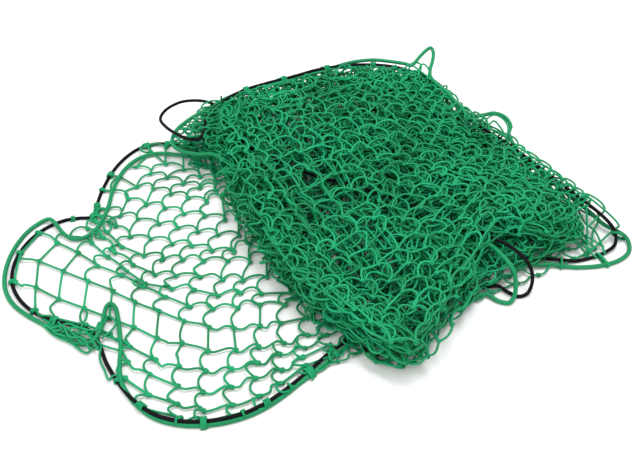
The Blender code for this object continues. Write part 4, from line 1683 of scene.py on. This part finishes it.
def tuck(border: Cord) -> None:
    """Hang the rope in under the end meshes along the pile's right side.

    Args:
        border: the rope, whose path this changes.
    """
    start, end = (border.nearest(np.array(spot, float))[0] / border.step for spot in TUCKED)
    along = (np.arange(len(border.path)) - start) / (end - start)
    share = smooth_step(along / TUCK_EASE) * smooth_step((1 - along) / TUCK_EASE)
    border.path += share[:, None] * TUCK
    border.path[:, 2] = np.maximum(border.path[:, 2], border.diameter / 2)


def laid_cords() -> tuple[Cord, Cord]:
    """Lay the border's two cords.

    Returns:
        The elastic and the rope.
    """
    elastic = Cord("elastic_cord", BLACK_ELASTIC, ELASTIC, [
        *ELASTIC_FLAP, *hidden_run(FLOOR_GAP, ELASTIC_FRONT_RUN), *ELASTIC_FRONT_LOOP,
        *hidden_run(UPPER_GAP, ELASTIC_UPPER_RUN), *ELASTIC_BACK_LOOP, *ELASTIC_RIM,
        *hidden_run(FLOOR_GAP, ELASTIC_LOW_RUN),
    ])
    border = Cord("border_rope", GREEN_ROPE, ROPE, [
        *ROPE_FLAP, *hidden_run(FLOOR_GAP, ROPE_FRONT_RUN), *ROPE_FRONT_LOOP,
        *hidden_run(UPPER_GAP, ROPE_UPPER_RUN), *ROPE_BACK, *hidden_run(FLOOR_GAP, ROPE_LOW_RUN),
    ])
    nestle(elastic, border)
    tuck(border)
    return elastic, border


# ---------------------------------------------------------------- ties and loose strands


@dataclass(kw_only=True)
class LooseTwine:
    """A piece of twine without knots of its own, tied to the net or its cords.

    Args:
        name: the piece's name.
        detail: how finely it is made.
    """

    name: str
    detail: Detail = Detail.SPUN

    def lines(self) -> list[Points]:
        """The piece's lines of twine."""
        raise NotImplementedError

    def build(self, stock: Stock) -> None:
        """Make the piece.

        Args:
            stock: what it is made with.
        """
        strands = Strands()
        for line in self.lines():
            strands.add_line(np.maximum(line, (-math.inf, -math.inf, LOOSE_TWINE / 2)), EVEN_TONE)
        piece = linked(self.name, strands.mesh(self.name))
        stock.spin(piece, LOOSE_TWINE, self.detail)
        claim(piece, GREEN_TWINE)


@dataclass(kw_only=True)
class FlapTies(LooseTwine):
    """Loops of twine from the flap's outer knots round the elastic.

    Args:
        net: the net.
        elastic: the cord.
        reach: mm, the farthest that a tie reaches.
        turns: how many times it goes round.
        step: mm between its points.
    """

    net: Net
    elastic: Cord
    reach: float = 26.0
    turns: float = 1.3
    step: float = 2.0

    def lines(self) -> list[Points]:
        """One line for each tie."""
        net, lines = self.net, []
        shape = net.present.reshape(ROWS + 1, -1)
        for row in range(ROWS + 1):
            first = int(np.flatnonzero(shape[row])[0])
            outer = range(first, FLAP_COLUMNS) if row in (0, ROWS) else (first,)
            for column in outer:
                knot = net.knots[net.number(row, column)]
                station, away = self.elastic.nearest(knot)
                if away < self.reach:
                    loop = self.elastic.winding(station, self.turns, knot)
                    lines.append(spun([knot, *loop, knot], self.step))
        return lines


@dataclass(kw_only=True)
class RimLoops(LooseTwine):
    """End meshes of the top layer: hung along the back rim, threaded over the right one.

    Args:
        net: the net.
        elastic: the cord.
        hang: mm inside the cord's middle that a hung mesh passes it.
        drop: mm by which it passes under that middle.
        step: meshes from one end loop to the next.
        outer: mm that the end loops stand out beyond the elastic.
        inner: mm for the second strands between them.
        spread: share of their distance by which a loop's ends draw apart.
        kept: which loops are kept, so that none is beside the rope's standing bight and none
            across the open corner.
    """

    net: Net
    elastic: Cord
    hang: Pair = (4.5, 6.5)
    drop: float = 2.0
    step: float = 0.9
    outer: Pair = (12.0, 18.0)
    inner: Pair = (5.0, 9.0)
    spread: Pair = (0.05, 0.35)
    kept: tuple[int, int] = (3, -1)

    def lines(self) -> list[Points]:
        """One line for each end mesh."""
        net, wide = self.net, len(self.net.columns)
        back = net.knots[[net.number(0, wide - TOP_COLUMNS + column) for column in range(TOP_COLUMNS)]]
        side = net.knots[[net.number(row, wide - 1) for row in range(ROWS + 1)]]
        lines = self.hung(back)
        lines += self.fringe(side, 0.0, self.outer)
        return lines + self.fringe(side, self.step / 2, self.inner)

    def hung(self, knots: Points) -> list[Points]:
        """One line from each of a row of knots to the next, hung on the elastic."""
        lines = []
        for first, last in zip(knots[:-1], knots[1:]):
            centre = self.elastic.at(self.elastic.nearest((first + last) / 2, LEVEL_WEIGHT)[0])
            inward = unit((first + last) / 2 - centre) * self.net.random.uniform(*self.hang)
            lines.append(spun([first, centre + inward + (0, 0, -self.drop), last]))
        return lines

    def fringe(self, knots: Points, start: float, reach: Pair) -> list[Points]:
        """Loops along a row of knots, threaded over the elastic.

        Args:
            knots: the knots.
            start: meshes from the first knot to the first loop.
            reach: mm, how far the loops stand out, from least to most.

        Returns:
            The loops' lines.
        """
        spots = through(range(len(knots)), knots, np.arange(start, ROWS, self.step))
        loops = []
        for first, last in zip(spots[:-1], spots[1:]):
            apart = self.net.random.uniform(*self.spread) * (last - first)
            out = self.net.random.uniform(*reach)
            loops.append(self.elastic.threaded(first - apart, last + apart, out))
        return loops[slice(*self.kept)]


@dataclass(kw_only=True)
class Webs(LooseTwine):
    """Patches of slack meshes.

    Args:
        random: the generator to draw from.
        patches: the patches.
        jitter: mm, how much their inner knots are shifted.
        slack: twine in a bar as a multiple of the way between its knots.
        least: the same as a share of a flap's bar, at least.
        most_slack: the largest share by which a bar counts as shorter than its twine.
        droop: how much the bars sag.
    """

    random: np.random.Generator
    patches: Sequence[Patch]
    detail: Detail = Detail.WEBBED
    jitter: float = 3.0
    slack: float = 1.15
    least: float = 0.8
    most_slack: float = 0.5
    droop: float = 0.3

    def lines(self) -> list[Points]:
        """One line for each bar."""
        lines = []
        for patch in self.patches:
            lines += self.bars(*patch)
        return lines

    def bars(self, outer: Any, inner: Any, rows: int, columns: int) -> list[Points]:
        """The bars of one patch.

        Args:
            outer: points along its one edge, mm.
            inner: points along its other edge.
            rows: meshes from edge to edge.
            columns: meshes along the edges.

        Returns:
            One line for each bar.
        """
        share = np.linspace(0, 1, columns + 1)
        edges = [through(range(len(edge)), edge, share * (len(edge) - 1)) for edge in (outer, inner)]
        mix = np.linspace(0, 1, rows + 1)[:, None, None]
        knots = (1 - mix) * edges[0] + mix * edges[1]
        knots[1:-1] += self.random.normal(0, self.jitter, knots[1:-1].shape)
        pairs = [(knots[r, c], knots[r, c + 1]) for r in range(rows + 1) for c in range(columns)]
        pairs += [(knots[r, c], knots[r + 1, c]) for r in range(rows) for c in range(columns + 1)]
        start, end = (np.array(side) for side in zip(*pairs))
        chord = np.linalg.norm(end - start, axis=1)
        length = np.maximum(chord * self.slack, self.least * MESH_BAR)
        bow = bow_turn(chord, length, self.most_slack)
        leave, arrive = (turned(unit(end - start), way * bow) for way in (1, -1))
        leave[:, 2] -= self.droop * bow
        arrive[:, 2] += self.droop * bow
        return list(bent_bars(start, end, unit(leave), unit(arrive), length))


@dataclass(kw_only=True)
class Strays(LooseTwine):
    """Loose strands.

    Args:
        routes: where the camera sees each of them, and its height.
        step: mm between their points.
    """

    routes: Sequence[Seen]
    step: float = 3.0

    def lines(self) -> list[Points]:
        """One line for each strand."""
        return [spun(on_plane(pixels, height), self.step) for height, pixels in self.routes]


@dataclass(kw_only=True)
class Lashing(LooseTwine):
    """A short winding that holds the elastic, or both cords.

    Args:
        cord: the elastic.
        partner: the rope if the winding takes it in.
        pixel: where the camera sees it.
        height: mm above the floor.
        turns: how many times it goes round.
        aside: mm in front of it of the point on whose side it starts.
    """

    cord: Cord
    partner: Cord | None
    pixel: Pair
    height: float
    turns: float
    aside: float = 20.0

    def lines(self) -> list[Points]:
        """The winding's one line."""
        spot = on_plane([self.pixel], self.height)[0]
        station = self.cord.nearest(spot)[0]
        return [self.cord.winding(station, self.turns, spot + (0, -self.aside, 0), self.partner)]


def loose_pieces(net: Net, elastic: Cord, border: Cord) -> list[LooseTwine]:
    """All pieces of loose twine, in the order of their random draws.

    Args:
        net: the net, tied.
        elastic: the elastic.
        border: the rope.

    Returns:
        The pieces, not built yet.
    """
    corner = [
        Webs(name=f"corner_web_{number}", random=net.random, patches=[patch])
        for number, patch in enumerate(CORNER_WEBS, 1)
    ]
    foot = [
        (*(on_plane(pixels, height) for height, pixels in edges), rows, columns)
        for *edges, rows, columns in FOOT_WEBS
    ]
    strays = [
        Strays(name="notch_strands", routes=NOTCH_STRANDS),
        Strays(name="corner_strands", routes=CORNER_STRANDS),
        Strays(name="peak_strands", routes=PEAK_STRANDS),
        Strays(name="back_bight_strands", routes=BACK_BIGHT_STRANDS),
    ]
    lashings = [
        Lashing(
            name=f"lashing_{number}", cord=elastic, partner=border if both else None,
            pixel=pixel, height=height, turns=turns,
        )
        for number, (pixel, height, turns, both) in enumerate(LASHINGS, 1)
    ]
    return [
        FlapTies(name="flap_ties", net=net, elastic=elastic),
        RimLoops(name="rim_loops", net=net, elastic=elastic),
        *corner, Webs(name="foot_webs", random=net.random, patches=foot), *strays, *lashings,
    ]


# ---------------------------------------------------------------- studio


@dataclass(frozen=True)
class Lamp:
    """A round lamp that shines at the net.

    Args:
        name: the lamp's name.
        place: m.
        size: m across.
        power: W.
    """

    name: str
    place: Spot
    size: float
    power: float

    def build(self) -> None:
        """Hang the lamp."""
        light = bpy.data.lights.new(self.name, "AREA")
        light.shape, light.size, light.energy = "DISK", self.size, self.power
        lamp = linked(self.name, light)
        lamp.location = self.place
        lamp.rotation_euler = (-Vector(self.place)).to_track_quat("-Z", "Y").to_euler()


@dataclass(frozen=True)
class Studio:
    """Camera, floor and soft light."""

    lamps: tuple[Lamp, ...] = (
        Lamp("key", (0.5, 0.3, 2.5), 1.4, 43.0), Lamp("fill", (-1.6, -1.2, 1.8), 2.4, 25.0),
    )
    floor_half: float = 30.0  # m
    floor_colour: Spot = (0.86, 0.86, 0.855)
    floor_roughness: float = 0.9
    sky: float = 0.84  # strength of the white light from all round

    def build(self) -> None:
        """Set up the camera, the floor, the lamps and the sky."""
        self.aim_camera()
        self.lay_floor()
        for lamp in self.lamps:
            lamp.build()
        world = bpy.data.worlds.new("studio")
        bpy.context.scene.world = world
        world.use_nodes = True
        background = world.node_tree.nodes["Background"]
        background.inputs["Color"].default_value = (1, 1, 1, 1)
        background.inputs["Strength"].default_value = self.sky
        bpy.context.scene.view_settings.view_transform = "Standard"

    def aim_camera(self) -> None:
        """Stand the camera where the photograph was taken from."""
        data = bpy.data.cameras.new("camera")
        camera = linked("camera", data)
        data.sensor_width = SENSOR
        data.lens = SENSOR / 2 / math.tan(HALF_VIEW)
        target = Vector((-MIDDLE[0] * MM, -MIDDLE[1] * MM, 0))
        camera.location = target + Vector((0, -CAMERA_BACK, CAMERA_HEIGHT))
        camera.rotation_euler = (target - camera.location).to_track_quat("-Z", "Y").to_euler()
        bpy.context.scene.camera = camera

    def lay_floor(self) -> None:
        """Lay the floor, which is no part of the object."""
        mesh, half = bpy.data.meshes.new("floor"), self.floor_half
        corners = [(-half, -half, 0), (half, -half, 0), (half, half, 0), (-half, half, 0)]
        mesh.from_pydata(corners, [], [(0, 1, 2, 3)])
        floor = linked("floor", mesh)
        paint = bpy.data.materials.new("floor")
        paint.use_nodes = True
        shader = paint.node_tree.nodes["Principled BSDF"]
        shader.inputs["Base Color"].default_value = (*self.floor_colour, 1)
        shader.inputs["Roughness"].default_value = self.floor_roughness
        mesh.materials.append(paint)


def main() -> None:
    """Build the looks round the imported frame."""
    random = np.random.default_rng(SEED)
    Studio().build()
    stock = Stock.prepare()
    elastic, border = laid_cords()
    net = Net(random, elastic.between(ELASTIC_RIM[0], ELASTIC_RIM[RIM_END]))
    net.lay_out()
    net.tie()
    net.build(stock)
    elastic.build(stock)
    border.build(stock)
    for piece in loose_pieces(net, elastic, border):
        piece.build(stock)
    LOG.info("twine: %.0f m in %d bars", len(net.bars) * MESH_BAR * MM, len(net.bars))


if __name__ == "__main__":
    main()
